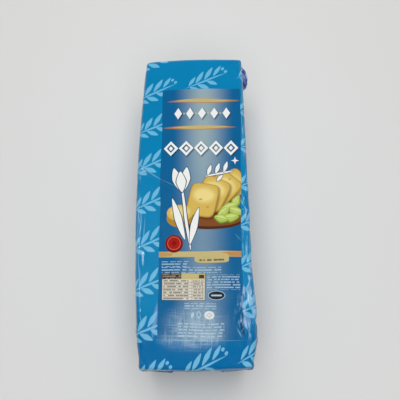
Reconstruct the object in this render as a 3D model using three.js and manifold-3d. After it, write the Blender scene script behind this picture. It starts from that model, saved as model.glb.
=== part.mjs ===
/*
 * Gouda cheese loaf in shrunk film. Millimetres, +Z up.
 *
 * A long rectangular loaf lies on its flat underside at z = 0, with the origin at the
 * middle of that underside. +Y runs along the loaf to the far end and +X is its right
 * side. The shut film bag can't be seen into, so cheese and film are one solid: a block
 * with rounded edges whose sides bow and bulge, and on it the bag's end seals, its ears
 * at the corners, the tucked gussets of the ends and the longest folds of slack film.
 */
import * as THREE from 'three';
import Module from 'manifold-3d';
import { mergeVertices } from 'three/addons/utils/BufferGeometryUtils.js';

const wasm = await Module();
wasm.setup();

// ---- the block -------------------------------------------------------------------
const LENGTH = 305; // over the crowned ends
const END_WIDTH = 96.2; // of the plain block, before its sides are laid out
const HEIGHT = 97; // floor to the top of the crown
const TOP_CROWN = 1.5; // how far the middle of the top stands above its long edges
const END_CROWN = 2; // how far the middle of an end stands out from its corners
const END_SWELL = 0.8; // and from its own upper and lower edges
const END_PULL = 4; // power by which what shapes an end dies out along the loaf
const CROWN_FLATNESS = 0.25; // power that keeps the crown level until close to the ends
const END_FLAT_BAND = 0.8; // depth in from the rim that still counts as the end's face
const FAR_END_SKEW = 2.2; // how much further the far end reaches on the right
const NEAR_END_LIP = 3.4; // how far the rim of the near end leans out
const NEAR_END_TUCK = 6.5; // and how far its foot is drawn in under that rim
const EDGE_ROUNDING = { across: 3.5, along: 2.5, up: 6 }; // of the block's edges, by axis

const RIM_LENGTH = LENGTH - 2 * (END_CROWN + END_SWELL);
const RIM_HEIGHT = HEIGHT - TOP_CROWN;

// Each side runs from its distance off the middle at the near end to that at the far
// end, and bows out between. A skew under 1 moves the bow nearer.
const LEFT_SIDE = { near: 49.2, far: 48.4, bow: 6.6, skew: 0.96 };
const RIGHT_SIDE = { near: 50.2, far: 49.6, bow: 1.3, skew: 0.75 };

// Low swellings of the sides: side, fullest place, lengths to where they die out, reach.
const SIDE_BULGES = [
  { side: 1, y: -118, toNear: 27, toFar: 56, z: 80, halfHeight: 44, reach: 3.4 },
  { side: -1, y: -112, toNear: 30, toFar: 76, z: 62, halfHeight: 42, reach: 2.6 },
];
const BULGE_FULLNESS = 0.5; // power that keeps a bulge full until close to its ends

// ---- the film bag ----------------------------------------------------------------
const FILM_FOLD = 1; // thickness of shrunk, folded film
const SEAL_DEPTH = 11; // from the root of an end seal to its free edge
const SEAL_INSET = 4; // how far a seal stops short of the sides
const SEAL_RIPPLE = { size: 0.5, waves: 7 };
const SEAL_ROOT_Z = 56; // where the seals fold down from
const ROOT_DEPTH = 3; // how deep seals and ears are rooted in the block

// A gusset is the triangle of bag tucked under the seal at each side of an end.
const GUSSET_RISE = 1.3;
const GUSSET_TIP = 0.42; // share of the half width where the two folds meet
const GUSSET_SOFTNESS = 0.09;

// Ears are what the corners of the bag shrink to, pressed back along the sides.
const EARS = [
  { side: 1, y: 137.5, z: 78, length: 30, reach: 7, droop: 2.5 }, // far right
  { side: -1, y: 136, z: 58, length: 28, reach: 3, droop: 3 }, // far left
  { side: 1, y: -130, z: 70, length: 30, reach: 3, droop: 2 }, // near right
  { side: -1, y: -122, z: 64, length: 32, reach: 2, droop: 2.5 }, // near left
];

// Long folds of slack film on the top, as ridges between two plan points.
const TOP_FOLDS = [
  { from: [-49, 88], to: [-13, 66], halfWidth: 5, rise: 0.7 },
  { from: [41, -64], to: [34, -116], halfWidth: 4.5, rise: 1.2 },
  { from: [46, -78], to: [43, -126], halfWidth: 4.5, rise: 1.1 },
];

// ---- fineness --------------------------------------------------------------------
const CELLS = { across: 12, along: 42, up: 11 }; // between the rounded edges
const EDGE_CELLS = 3; // in each half of a rounded edge
const SEAL_CELLS = { across: 28, thick: 1, deep: 3 };
const EAR_CURVE_POINTS = 10;

const clamp = THREE.MathUtils.clamp;

/** A soft hump: 1 at u = 0 falling to 0 at u = -1 and u = 1. */
function hump(u) {
  return Math.cos((Math.PI / 2) * clamp(u, -1, 1)) ** 2;
}

/** Share of the way from the near rim (0) to the far rim (1). */
function alongLoaf(y) {
  return clamp(y / RIM_LENGTH + 0.5, 0, 1);
}

/** Half width of the block at y, on the side of that sign, without the bulges. */
function halfWidth(side, y) {
  const { near, far, bow, skew } = side < 0 ? LEFT_SIDE : RIGHT_SIDE;
  const straight = THREE.MathUtils.lerp(near, far, alongLoaf(y));
  return straight + bow * Math.sin(Math.PI * alongLoaf(y) ** skew);
}

/** How far a side swells beyond its half width at y and z. */
function sideBulge(side, y, z) {
  return SIDE_BULGES.filter((bulge) => bulge.side === side).reduce((sum, bulge) => {
    const run = y < bulge.y ? bulge.toNear : bulge.toFar;
    const along = hump((y - bulge.y) / run) ** BULGE_FULLNESS;
    return sum + bulge.reach * along * hump((z - bulge.z) / bulge.halfHeight);
  }, 0);
}

/** How far an end stands out from its corners at share s of the half width and height z. */
function endCrown(s, z) {
  const swell = END_SWELL * Math.sin(Math.PI * clamp(z / RIM_HEIGHT, 0, 1));
  return (END_CROWN + swell) * (1 - s * s);
}

/** How far an end leans out at height z. */
function endLean(end, z) {
  return end < 0 ? NEAR_END_LIP - NEAR_END_TUCK * (1 - clamp(z / RIM_HEIGHT, 0, 1)) : 0;
}

/** The raised triangles of tucked bag on an end, seen at share s and height z. */
function gusset(s, z) {
  const slope = (1 - GUSSET_TIP) / (z > SEAL_ROOT_Z ? RIM_HEIGHT - SEAL_ROOT_Z : SEAL_ROOT_Z);
  const fold = GUSSET_TIP + Math.abs(z - SEAL_ROOT_Z) * slope;
  return GUSSET_RISE * THREE.MathUtils.smoothstep(Math.abs(s) - fold, 0, GUSSET_SOFTNESS);
}

/** Height of the folds of slack film over plan point (x, y) of the top. */
function topFolds(x, y) {
  const point = new THREE.Vector2(x, y);
  return TOP_FOLDS.reduce((sum, fold) => {
    const from = new THREE.Vector2(...fold.from);
    const run = new THREE.Vector2(...fold.to).sub(from);
    const t = point.clone().sub(from).dot(run) / run.lengthSq();
    const foot = from.clone().addScaledVector(run, clamp(t, 0, 1));
    const ends = hump(2 * clamp(t, 0, 1) - 1);
    return sum + fold.rise * ends * hump(point.distanceTo(foot) / fold.halfWidth);
  }, 0);
}

/** Grid stops over one axis: even in the middle, evenly turned round each edge. */
function gridStops(half, radius, middleCells) {
  const stops = [];
  for (let k = 0; k < EDGE_CELLS; k += 1) {
    const turn = ((EDGE_CELLS - k) / EDGE_CELLS) * (Math.PI / 4);
    stops.push(radius * (1 - Math.tan(turn)) - half);
  }
  for (let k = 0; k <= middleCells; k += 1) {
    stops.push((half - radius) * ((2 * k) / middleCells - 1));
  }
  for (let k = EDGE_CELLS - 1; k >= 0; k -= 1) stops.push(-stops[k]);
  return stops;
}

/** A block with elliptically rounded edges, centred on the origin. */
function roundedBlock() {
  const half = new THREE.Vector3(END_WIDTH / 2, RIM_LENGTH / 2, RIM_HEIGHT / 2);
  const radius = new THREE.Vector3(EDGE_ROUNDING.across, EDGE_ROUNDING.along, EDGE_ROUNDING.up);
  const core = half.clone().sub(radius);
  const stops = [
    gridStops(half.x, radius.x, CELLS.across),
    gridStops(half.y, radius.y, CELLS.along),
    gridStops(half.z, radius.z, CELLS.up),
  ];
  const cells = stops.map((list) => list.length - 1);
  const block = new THREE.BoxGeometry(1, 1, 1, ...cells);
  const places = block.attributes.position;
  const onGrid = (value, axis) => stops[axis][Math.round((value + 0.5) * cells[axis])];
  for (let i = 0; i < places.count; i += 1) {
    const point = new THREE.Vector3().fromBufferAttribute(places, i);
    point.set(onGrid(point.x, 0), onGrid(point.y, 1), onGrid(point.z, 2));
    const foot = point.clone().clamp(core.clone().negate(), core);
    const out = point.sub(foot).divide(radius).normalize();
    places.setXYZ(i, ...foot.add(out.multiply(radius)).toArray());
  }
  return block;
}

/** Where a point of the plain block lies once the block bows, bulges and folds. */
function shapedPoint(plain) {
  const z = plain.z + RIM_HEIGHT / 2;
  const side = Math.sign(plain.x);
  const s = plain.x / (END_WIDTH / 2);
  const end = Math.sign(plain.y);
  const nearEnd = (Math.abs(plain.y) / (RIM_LENGTH / 2)) ** END_PULL;
  const onEnd = Math.abs(plain.y) >= RIM_LENGTH / 2 - END_FLAT_BAND ? 1 : 0;
  const x = s * halfWidth(side, plain.y) + side * s * s * sideBulge(side, plain.y, z);
  const skew = end > 0 ? (FAR_END_SKEW * s) / 2 : 0;
  const stand = (endCrown(s, z) + endLean(end, z)) * nearEnd + gusset(s, z) * onEnd;
  const y = plain.y + end * stand + skew * nearEnd;
  const rise = TOP_CROWN * (1 - s * s) * hump((2 * plain.y) / RIM_LENGTH) ** CROWN_FLATNESS;
  const onTop = THREE.MathUtils.smoothstep(z, RIM_HEIGHT - 2 * EDGE_ROUNDING.up, RIM_HEIGHT);
  return new THREE.Vector3(x, y, z + onTop * (rise + topFolds(x, y)));
}

/** The loaf itself, without seals and ears. */
function loafBlock() {
  const block = roundedBlock();
  const places = block.attributes.position;
  for (let i = 0; i < places.count; i += 1) {
    const plain = new THREE.Vector3().fromBufferAttribute(places, i);
    places.setXYZ(i, ...shapedPoint(plain).toArray());
  }
  return block;
}

/** A seal across one end: a rippled strip folded down against the face. */
function endSeal(end) {
  const width = END_WIDTH - 2 * SEAL_INSET;
  const thickness = FILM_FOLD + ROOT_DEPTH;
  const strip = new THREE.BoxGeometry(
    width, thickness, SEAL_DEPTH, SEAL_CELLS.across, SEAL_CELLS.thick, SEAL_CELLS.deep,
  );
  const places = strip.attributes.position;
  for (let i = 0; i < places.count; i += 1) {
    const plain = new THREE.Vector3().fromBufferAttribute(places, i);
    const s = plain.x / (END_WIDTH / 2);
    const hang = 0.5 - plain.z / SEAL_DEPTH;
    const ripple = SEAL_RIPPLE.size * Math.sin(Math.PI * SEAL_RIPPLE.waves * s) * hang;
    const z = SEAL_ROOT_Z + plain.z - SEAL_DEPTH / 2 + ripple;
    const face = RIM_LENGTH / 2 + endCrown(s, z) + endLean(end, z) + gusset(s, z);
    const lift = plain.y + thickness / 2 - ROOT_DEPTH + hang * SEAL_RIPPLE.size + ripple / 2;
    const stand = plain.y > 0 ? lift : -ROOT_DEPTH;
    const skew = end > 0 ? (FAR_END_SKEW * s) / 2 : 0;
    places.setXYZ(i, plain.x, end * (face + stand) + skew, z);
  }
  if (end < 0) turnInsideOut(strip);
  return strip;
}

/** Reverses the faces of a geometry that has been mirrored. */
function turnInsideOut(geometry) {
  const index = geometry.index.array;
  for (let i = 0; i < index.length; i += 3) {
    [index[i], index[i + 1]] = [index[i + 1], index[i]];
  }
}

/** An ear: a leaf-shaped flap rooted in a side wall, drooping towards its tip. */
function filmEar(ear) {
  const leaf = new THREE.Shape();
  leaf.moveTo(-ear.length / 2, -ROOT_DEPTH);
  leaf.lineTo(ear.length / 2, -ROOT_DEPTH);
  const fullness = (4 * ear.reach + ROOT_DEPTH) / 3;
  leaf.bezierCurveTo(ear.length / 2, fullness, -ear.length / 2, fullness, -ear.length / 2, -ROOT_DEPTH);
  const flap = mergeVertices(stripped(new THREE.ExtrudeGeometry(leaf, {
    depth: FILM_FOLD, curveSegments: EAR_CURVE_POINTS, bevelEnabled: false,
  })));
  const places = flap.attributes.position;
  const wall = halfWidth(ear.side, ear.y) + sideBulge(ear.side, ear.y, ear.z);
  for (let i = 0; i < places.count; i += 1) {
    const run = places.getX(i);
    const out = places.getY(i);
    const droop = ear.droop * clamp(out / ear.reach, 0, 1) ** 2;
    const z = ear.z + places.getZ(i) - FILM_FOLD / 2 - droop;
    places.setXYZ(i, ear.side * (wall + out), ear.y + run, z);
  }
  if (ear.side > 0) turnInsideOut(flap);
  return flap;
}

/** The geometry with nothing but its vertex places, ready to be merged. */
function stripped(geometry) {
  geometry.deleteAttribute('normal');
  geometry.deleteAttribute('uv');
  return geometry;
}

/** A closed manifold solid from a geometry. */
function solidOf(geometry) {
  const merged = mergeVertices(geometry.attributes.uv ? stripped(geometry) : geometry);
  return new wasm.Manifold(new wasm.Mesh({
    numProp: 3,
    vertProperties: new Float32Array(merged.attributes.position.array),
    triVerts: new Uint32Array(merged.index.array),
  }));
}

/** A geometry from a manifold solid. */
function geometryOf(solid) {
  const { vertProperties, triVerts } = solid.getMesh();
  const geometry = new THREE.BufferGeometry();
  geometry.setAttribute('position', new THREE.BufferAttribute(new Float32Array(vertProperties), 3));
  geometry.setIndex(new THREE.BufferAttribute(new Uint32Array(triVerts), 1));
  geometry.computeVertexNormals();
  return geometry;
}

/** The whole wrapped loaf as one solid. */
function wrappedLoaf() {
  const additions = [endSeal(-1), endSeal(1), ...EARS.map(filmEar)];
  return additions.reduce((loaf, piece) => loaf.add(solidOf(piece)), solidOf(loafBlock()));
}

const printedFilm = new THREE.MeshStandardMaterial({
  name: 'printed_film',
  color: 0x1c86b6,
  roughness: 0.28,
  metalness: 0,
});

const cheeseLoaf = new THREE.Mesh(geometryOf(wrappedLoaf()), printedFilm);
cheeseLoaf.name = 'cheese_loaf';

const part = new THREE.Group();
part.add(cheeseLoaf);

export default part;
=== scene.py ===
"""Looks of a gouda cheese loaf in printed shrink film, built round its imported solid.

The loaf is one rigid block, so everything rides on the body "root". The pieces are the
film that wraps the block, the two crimped end seals and the four shrunk corner ears.
Sizes in the classes are millimetres, meshes and the frame are metres.
"""

import logging
import math
from dataclasses import dataclass
from enum import Enum, IntEnum
from typing import Any, Optional

import bpy
import numpy as np
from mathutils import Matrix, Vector, noise


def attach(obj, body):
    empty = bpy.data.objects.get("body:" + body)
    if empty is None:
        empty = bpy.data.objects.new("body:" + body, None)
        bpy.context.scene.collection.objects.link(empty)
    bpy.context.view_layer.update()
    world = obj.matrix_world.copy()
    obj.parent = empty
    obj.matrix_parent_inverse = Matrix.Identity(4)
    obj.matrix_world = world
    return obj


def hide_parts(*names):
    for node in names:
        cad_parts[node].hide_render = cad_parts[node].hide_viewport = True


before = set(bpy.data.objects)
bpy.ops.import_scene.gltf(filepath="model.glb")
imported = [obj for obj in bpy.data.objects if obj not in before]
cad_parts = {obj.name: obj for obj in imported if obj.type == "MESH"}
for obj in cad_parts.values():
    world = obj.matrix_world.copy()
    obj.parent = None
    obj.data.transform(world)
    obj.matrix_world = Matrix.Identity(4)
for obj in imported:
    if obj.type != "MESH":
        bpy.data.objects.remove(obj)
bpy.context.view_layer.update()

LOG = logging.getLogger("cheese_loaf")
BODY = "root"
NODE = "cheese_loaf"
MM = 0.001
# How steeply the crests of crumpled film rise.
CREST_SLOPE = 2.4

# Names of the two maps on the film: where the print lies, and how the film is laid flat.
PRINT_MAP = "FilmPrint"
BAKE_MAP = "OFBake"


def hump(u: np.ndarray) -> np.ndarray:
    """A soft hump: 1 at 0, falling to 0 at -1 and 1.

    Args:
        u: Distances in half widths of the hump.

    Returns:
        The hump's height at each distance.
    """
    return np.cos(math.pi / 2 * np.clip(u, -1, 1)) ** 2


def smooth(value: np.ndarray, low: float, high: float) -> np.ndarray:
    """A smooth step from 0 at low to 1 at high.

    Args:
        value: What is stepped.
        low: Where the step starts.
        high: Where it ends.

    Returns:
        The step at each value.
    """
    t = np.clip((value - low) / (high - low), 0, 1)
    return t * t * (3 - 2 * t)


def wander(points: np.ndarray, pitch: tuple[float, float, float], seed: float) -> np.ndarray:
    """Smooth seeded noise between about -1 and 1.

    Args:
        points: Places in mm, one a row.
        pitch: Length of one swing along x, y and z, in mm.
        seed: Shifts the noise to another stretch of it.

    Returns:
        The noise at each place.
    """
    shift = Vector((seed * 17.3, seed * 7.1, seed * 3.7))
    scaled = points / np.array(pitch)
    return np.array([noise.noise(Vector(p) + shift) for p in scaled])


def creased(points: np.ndarray, pitch: tuple[float, float, float], seed: float) -> np.ndarray:
    """Noise folded into sharp crests, as stiff film crumples, between 0 and 1.

    Args:
        points: Places in mm, one a row.
        pitch: Length of one swing along x, y and z, in mm.
        seed: Shifts the noise to another stretch of it.

    Returns:
        The height of the crests at each place.
    """
    return 1 - np.clip(np.abs(wander(points, pitch, seed)) * CREST_SLOPE, 0, 1)


def film_piece(name: str, spots: np.ndarray, faces: list[list[int]]) -> bpy.types.Object:
    """Makes a smooth piece of the film.

    Args:
        name: The piece's name.
        spots: Its vertices in mm, one a row.
        faces: The vertices of each face.

    Returns:
        The piece, in metres, on the loaf's own place.
    """
    mesh = bpy.data.meshes.new(name)
    mesh.from_pydata((spots * MM).tolist(), [], faces)
    mesh.shade_smooth()
    piece = bpy.data.objects.new(name, mesh)
    bpy.context.scene.collection.objects.link(piece)
    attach(piece, BODY)
    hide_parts(NODE)
    return piece


def strip_faces(rings: np.ndarray, flipped: bool) -> list[list[int]]:
    """Joins rings of vertices into a closed strip with both its ends capped.

    Args:
        rings: The vertices' numbers, one ring a row.
        flipped: Whether every face is turned over.

    Returns:
        The vertices of each face.
    """
    after = np.roll(rings, -1, axis=1)
    quads = np.stack([rings[:-1], after[:-1], after[1:], rings[1:]], -1).reshape(-1, 4)
    faces = [*quads.tolist(), rings[0, ::-1].tolist(), rings[-1].tolist()]
    return [face[::-1] if flipped else face for face in faces]


@dataclass(frozen=True)
class Side:
    """One long side: its distance off the middle at the ends and how it bows between."""

    near: float
    far: float
    bow: float
    skew: float


@dataclass(frozen=True)
class Bulge:
    """A low swelling of one side of the loaf."""

    side: int
    y: float
    to_near: float
    to_far: float
    z: float
    half_height: float
    reach: float


@dataclass(frozen=True)
class LoafForm:
    """The form of the wrapped loaf, with the named sizes of its solid.

    Only the edges of the gussets are crisper than the solid's.
    """

    length: float = 305
    end_width: float = 96.2
    height: float = 97
    top_crown: float = 1.5
    end_crown: float = 2
    end_swell: float = 0.8
    end_pull: float = 4
    crown_flatness: float = 0.25
    far_end_skew: float = 2.2
    near_end_lip: float = 3.4
    near_end_tuck: float = 6.5
    edge_across: float = 3.5
    edge_along: float = 2.5
    edge_up: float = 6
    left: Side = Side(near=49.2, far=48.4, bow=6.6, skew=0.96)
    right: Side = Side(near=50.2, far=49.6, bow=1.3, skew=0.75)
    bulges: tuple[Bulge, ...] = (
        Bulge(side=1, y=-118, to_near=27, to_far=56, z=80, half_height=44, reach=3.4),
        Bulge(side=-1, y=-112, to_near=30, to_far=76, z=62, half_height=42, reach=2.6),
    )
    bulge_fullness: float = 0.5
    seal_root_z: float = 56
    gusset_rise: float = 1.3
    gusset_tip: float = 0.42
    gusset_softness: float = 0.05

    @property
    def rim_length(self) -> float:
        """Length between the rims of the two ends."""
        return self.length - 2 * (self.end_crown + self.end_swell)

    @property
    def rim_height(self) -> float:
        """Height of the top's long edges."""
        return self.height - self.top_crown

    def half_width(self, side: np.ndarray, y: np.ndarray) -> np.ndarray:
        """Half width of the block, without the bulges.

        Args:
            side: Negative on the left, positive on the right.
            y: Places along the loaf.

        Returns:
            The distance of that side from the middle at each y.
        """
        t = np.clip(y / self.rim_length + 0.5, 0, 1)

        def run(one: Side) -> np.ndarray:
            """The distance along one side."""
            straight = one.near + (one.far - one.near) * t
            return straight + one.bow * np.sin(math.pi * t**one.skew)

        return np.where(side < 0, run(self.left), run(self.right))

    def side_bulge(self, side: np.ndarray, y: np.ndarray, z: np.ndarray) -> np.ndarray:
        """How far the sides swell beyond their half width.

        Args:
            side: Negative on the left, positive on the right.
            y: Places along the loaf.
            z: Heights above the floor.

        Returns:
            The swelling at each place.
        """
        total = np.zeros_like(y)
        for bulge in self.bulges:
            run = np.where(y < bulge.y, bulge.to_near, bulge.to_far)
            along = hump((y - bulge.y) / run) ** self.bulge_fullness
            total += (np.sign(side) == bulge.side) * bulge.reach * along * hump(
                (z - bulge.z) / bulge.half_height
            )
        return total

    def end_rise(self, s: np.ndarray, z: np.ndarray) -> np.ndarray:
        """How far an end stands out from its corners.

        Args:
            s: Shares of the half width, from -1 to 1.
            z: Heights above the floor.

        Returns:
            The rise at each place of the end.
        """
        swell = self.end_swell * np.sin(math.pi * np.clip(z / self.rim_height, 0, 1))
        return (self.end_crown + swell) * (1 - s * s)

    def end_lean(self, end: np.ndarray, z: np.ndarray) -> np.ndarray:
        """How far an end leans out.

        Args:
            end: Negative at the near end, positive at the far end.
            z: Heights above the floor.

        Returns:
            The lean at each height.
        """
        under = 1 - np.clip(z / self.rim_height, 0, 1)
        return np.where(end < 0, self.near_end_lip - self.near_end_tuck * under, 0 * under)

    def gusset(self, s: np.ndarray, z: np.ndarray) -> np.ndarray:
        """Rise of the triangles of bag tucked under the seal at the sides of an end.

        Args:
            s: Shares of the half width, from -1 to 1.
            z: Heights above the floor.

        Returns:
            The rise at each place of the end.
        """
        above = z > self.seal_root_z
        span = np.where(above, self.rim_height - self.seal_root_z, self.seal_root_z)
        fold = self.gusset_tip + np.abs(z - self.seal_root_z) * (1 - self.gusset_tip) / span
        return self.gusset_rise * smooth(np.abs(s) - fold, 0, self.gusset_softness)

    def rounded(self, block: np.ndarray) -> tuple[np.ndarray, np.ndarray]:
        """Rounds the edges of a plain block that is centred on the origin.

        Args:
            block: Places on the plain block, one a row.

        Returns:
            The places on the rounded block and the outward directions there.
        """
        half = np.array([self.end_width, self.rim_length, self.rim_height]) / 2
        radius = np.array([self.edge_across, self.edge_along, self.edge_up])
        foot = np.clip(block, radius - half, half - radius)
        out = (block - foot) / radius
        out /= np.linalg.norm(out, axis=1, keepdims=True)
        return foot + out * radius, out

    def shaped(self, plain: np.ndarray) -> np.ndarray:
        """Bows, bulges and crowns a rounded block.

        Args:
            plain: Places on the rounded block, one a row.

        Returns:
            The places on the wrapped loaf, standing on z = 0.
        """
        side = np.sign(plain[:, 0])
        s = plain[:, 0] / (self.end_width / 2)
        z = plain[:, 2] + self.rim_height / 2
        end = np.sign(plain[:, 1])
        half_length = self.rim_length / 2
        near_end = (np.abs(plain[:, 1]) / half_length) ** self.end_pull
        on_end = smooth(np.abs(plain[:, 1]), half_length - 2, half_length)
        x = s * self.half_width(side, plain[:, 1])
        x += side * s * s * self.side_bulge(side, plain[:, 1], z)
        skew = np.where(end > 0, self.far_end_skew * s / 2, 0)
        stand = (self.end_rise(s, z) + self.end_lean(end, z)) * near_end
        y = plain[:, 1] + end * (stand + self.gusset(s, z) * on_end) + skew * near_end
        rise = self.top_crown * (1 - s * s)
        rise *= hump(2 * plain[:, 1] / self.rim_length) ** self.crown_flatness
        on_top = smooth(z, self.rim_height - 2 * self.edge_up, self.rim_height)
        return np.column_stack([x, y, z + on_top * rise])


@dataclass(frozen=True)
class Fold:
    """A long fold of slack film, as a ridge between two points of the loaf."""

    start: tuple[float, float, float]
    end: tuple[float, float, float]
    half_width: float
    rise: float


@dataclass(frozen=True)
class Crumple:
    """A patch where the film is slack and crumples in sharp folds."""

    centre: tuple[float, float, float]
    reach: tuple[float, float, float]
    pitch: tuple[float, float, float]
    rise: float
    seed: float


@dataclass(frozen=True)
class SlackFilm:
    """What the shrunk film does over the plain loaf: long folds, crumples and ripple."""

    folds: tuple[Fold, ...] = (
        Fold((-53, 36, 94), (-43, 25, 97), 2.6, 0.8),
        Fold((-43, 25, 97), (-12, 5, 98), 2.2, 0.6),
        Fold((33, -108, 98), (41, -126, 98), 2.8, 1.3),
        Fold((37, -101, 98), (47, -119, 97), 2.4, 1.2),
        Fold((42, -78, 97), (47, -98, 97), 2.6, 1.2),
        Fold((45, -84, 97), (43, -112, 98), 2.2, 1.1),
        Fold((49, -92, 95), (51, -116, 95), 2.4, 1.2),
        Fold((50, -60, 95), (48, -74, 95), 2.2, 0.9),
        Fold((-49, -12, 96), (-51, -60, 95), 2.0, 0.6),
        Fold((-45, -30, 98), (-47, -52, 97), 1.6, 0.45),
        Fold((50, 30, 94), (50, -48, 94), 2.2, 0.7),
        Fold((-52, -80, 94), (-50, -130, 94), 2.4, 0.7),
    )
    crumples: tuple[Crumple, ...] = (
        Crumple((46, -108, 95), (15, 36, 30), (5, 13, 11), 2.3, 1),
        Crumple((50, -20, 94), (7, 66, 24), (5, 15, 12), 0.9, 2),
        Crumple((-51, -42, 94), (8, 46, 24), (5, 20, 14), 0.8, 3),
        Crumple((45, 136, 88), (8, 16, 24), (6, 9, 9), 1.0, 4),
        Crumple((-50, 120, 60), (10, 34, 40), (9, 22, 12), 1.2, 5),
        Crumple((52, -122, 50), (12, 34, 44), (9, 20, 13), 1.6, 6),
        Crumple((-54, -118, 50), (12, 38, 44), (9, 22, 13), 1.4, 7),
        Crumple((48, 130, 42), (12, 30, 40), (9, 20, 12), 1.2, 8),
        Crumple((-52, 30, 94), (7, 60, 22), (5, 16, 12), 0.45, 9),
        Crumple((-48, -124, 94), (9, 30, 22), (6, 13, 12), 0.6, 10),
    )
    ripple: float = 0.2
    ripple_pitch: tuple[float, float, float] = (26, 34, 22)
    sag: float = 0.35
    sag_pitch: tuple[float, float, float] = (70, 90, 60)
    # The power of a fold's crest, and the share of its rise that it has at its ends.
    crest_power: float = 1.5
    end_share: float = 0.35
    # The share of a crumple's rise that it sinks below the plain film.
    crumple_sink: float = 0.35
    # Heights between which the film comes loose from the floor.
    loose: tuple[float, float] = (1.0, 14)
    # Small pleats fan out of a root beyond each end, by the shares of the half width and
    # the mm off the seal between which they come up, and fade along the loaf.
    gather: float = 0.4
    gather_turns: float = 60
    gather_pitch: float = 5.5
    gather_drift: float = 1.7
    gather_root: float = 16
    gather_run: float = 22
    gather_sides: tuple[float, float] = (0.55, 0.98)
    gather_heights: tuple[float, float] = (3, 16)

    def rise(self, at: np.ndarray, form: LoafForm) -> np.ndarray:
        """How far the film stands off the plain loaf.

        Args:
            at: Places on the loaf, in mm, one a row.
            form: The loaf that the film is shrunk onto.

        Returns:
            The rise at each place, in mm.
        """
        total = self.ripple * wander(at, self.ripple_pitch, 11)
        total += self.sag * wander(at, self.sag_pitch, 12)
        for fold in self.folds:
            start, run = np.array(fold.start), np.array(fold.end) - np.array(fold.start)
            t = np.clip((at - start) @ run / (run @ run), 0, 1)
            gap = np.linalg.norm(at - start - t[:, None] * run, axis=1)
            crest = np.clip(1 - gap / fold.half_width, 0, 1) ** self.crest_power
            arch = self.end_share + (1 - self.end_share) * np.sin(math.pi * t)
            total += fold.rise * crest * arch
        for crumple in self.crumples:
            off = (at - np.array(crumple.centre)) / np.array(crumple.reach)
            patch = hump(np.linalg.norm(off, axis=1))
            crests = creased(at, crumple.pitch, crumple.seed) - self.crumple_sink
            total += crumple.rise * patch * crests
        total += self.gathers(at, form)
        return total * smooth(at[:, 2], *self.loose)

    def gathers(self, at: np.ndarray, form: LoafForm) -> np.ndarray:
        """Small pleats that run out of the corners of the ends.

        Args:
            at: Places on the loaf, in mm, one a row.
            form: The loaf that the film is shrunk onto.

        Returns:
            The rise of the pleats at each place.
        """
        side = np.abs(at[:, 0]) / form.half_width(at[:, 0], at[:, 1])
        from_seal = np.abs(at[:, 2] - form.seal_root_z)
        from_end = form.rim_length / 2 - np.abs(at[:, 1])
        near_corner = np.exp(-np.clip(from_end, 0, None) / self.gather_run)
        near_corner = near_corner * smooth(side, *self.gather_sides)
        angle = np.arctan2(from_seal, np.clip(from_end + self.gather_root, 1, None))
        drift = self.gather_drift * wander(at, (30, 30, 30), 13)
        pleats = np.sin(angle * self.gather_turns / self.gather_pitch + drift)
        return self.gather * near_corner * pleats * smooth(from_seal, *self.gather_heights)


def grid_stops(half: float, radius: float, middle: int, edge: int) -> np.ndarray:
    """Grid stops over one axis: even in the middle, evenly turned round each edge.

    Args:
        half: Half the block's size on this axis.
        radius: The edge radius on this axis.
        middle: Cells between the rounded edges.
        edge: Cells in each half of a rounded edge.

    Returns:
        The stops, from -half to half.
    """
    turn = np.linspace(math.pi / 4, 0, edge + 1)[:-1]
    rim = radius * (1 - np.tan(turn)) - half
    flat = np.linspace(radius - half, half - radius, middle + 1)
    return np.concatenate([rim, flat, -rim[::-1]])


class BlockSide(IntEnum):
    """The sides of the plain block, the lower and the upper one of each axis in turn."""

    LEFT = 0
    RIGHT = 1
    NEAR = 2
    FAR = 3
    UNDER = 4
    TOP = 5


def block_grid(counts: list[int]) -> tuple[np.ndarray, np.ndarray, np.ndarray]:
    """Covers all sides of a block with one closed grid.

    Args:
        counts: How many stops there are along x, y and z.

    Returns:
        The three stops of each vertex, the vertices of each face, and the side of the
        block that each face is on.
    """
    faces, sides, keys = [], [], []
    for axis in range(3):
        first, second = [a for a in range(3) if a != axis]
        grid = np.stack(
            np.meshgrid(range(counts[first]), range(counts[second]), indexing="ij"), -1
        )
        for end in (0, 1):
            cell = np.zeros(grid.shape[:2] + (3,), int)
            cell[..., first], cell[..., second] = grid[..., 0], grid[..., 1]
            cell[..., axis] = end * (counts[axis] - 1)
            key = (cell[..., 0] * counts[1] + cell[..., 1]) * counts[2] + cell[..., 2]
            quad = np.stack([key[:-1, :-1], key[1:, :-1], key[1:, 1:], key[:-1, 1:]], -1)
            quad = quad.reshape(-1, 4)
            outward = (end == 1) == (axis != 1)
            faces.append(quad if outward else quad[:, ::-1])
            sides.append(np.full(len(quad), 2 * axis + end))
            keys.append(key.ravel())
    unique = np.unique(np.concatenate(keys))
    stops = np.stack(
        [unique // (counts[1] * counts[2]), unique // counts[2] % counts[1],
         unique % counts[2]], -1,
    )
    return stops, np.searchsorted(unique, np.concatenate(faces)), np.concatenate(sides)


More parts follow.
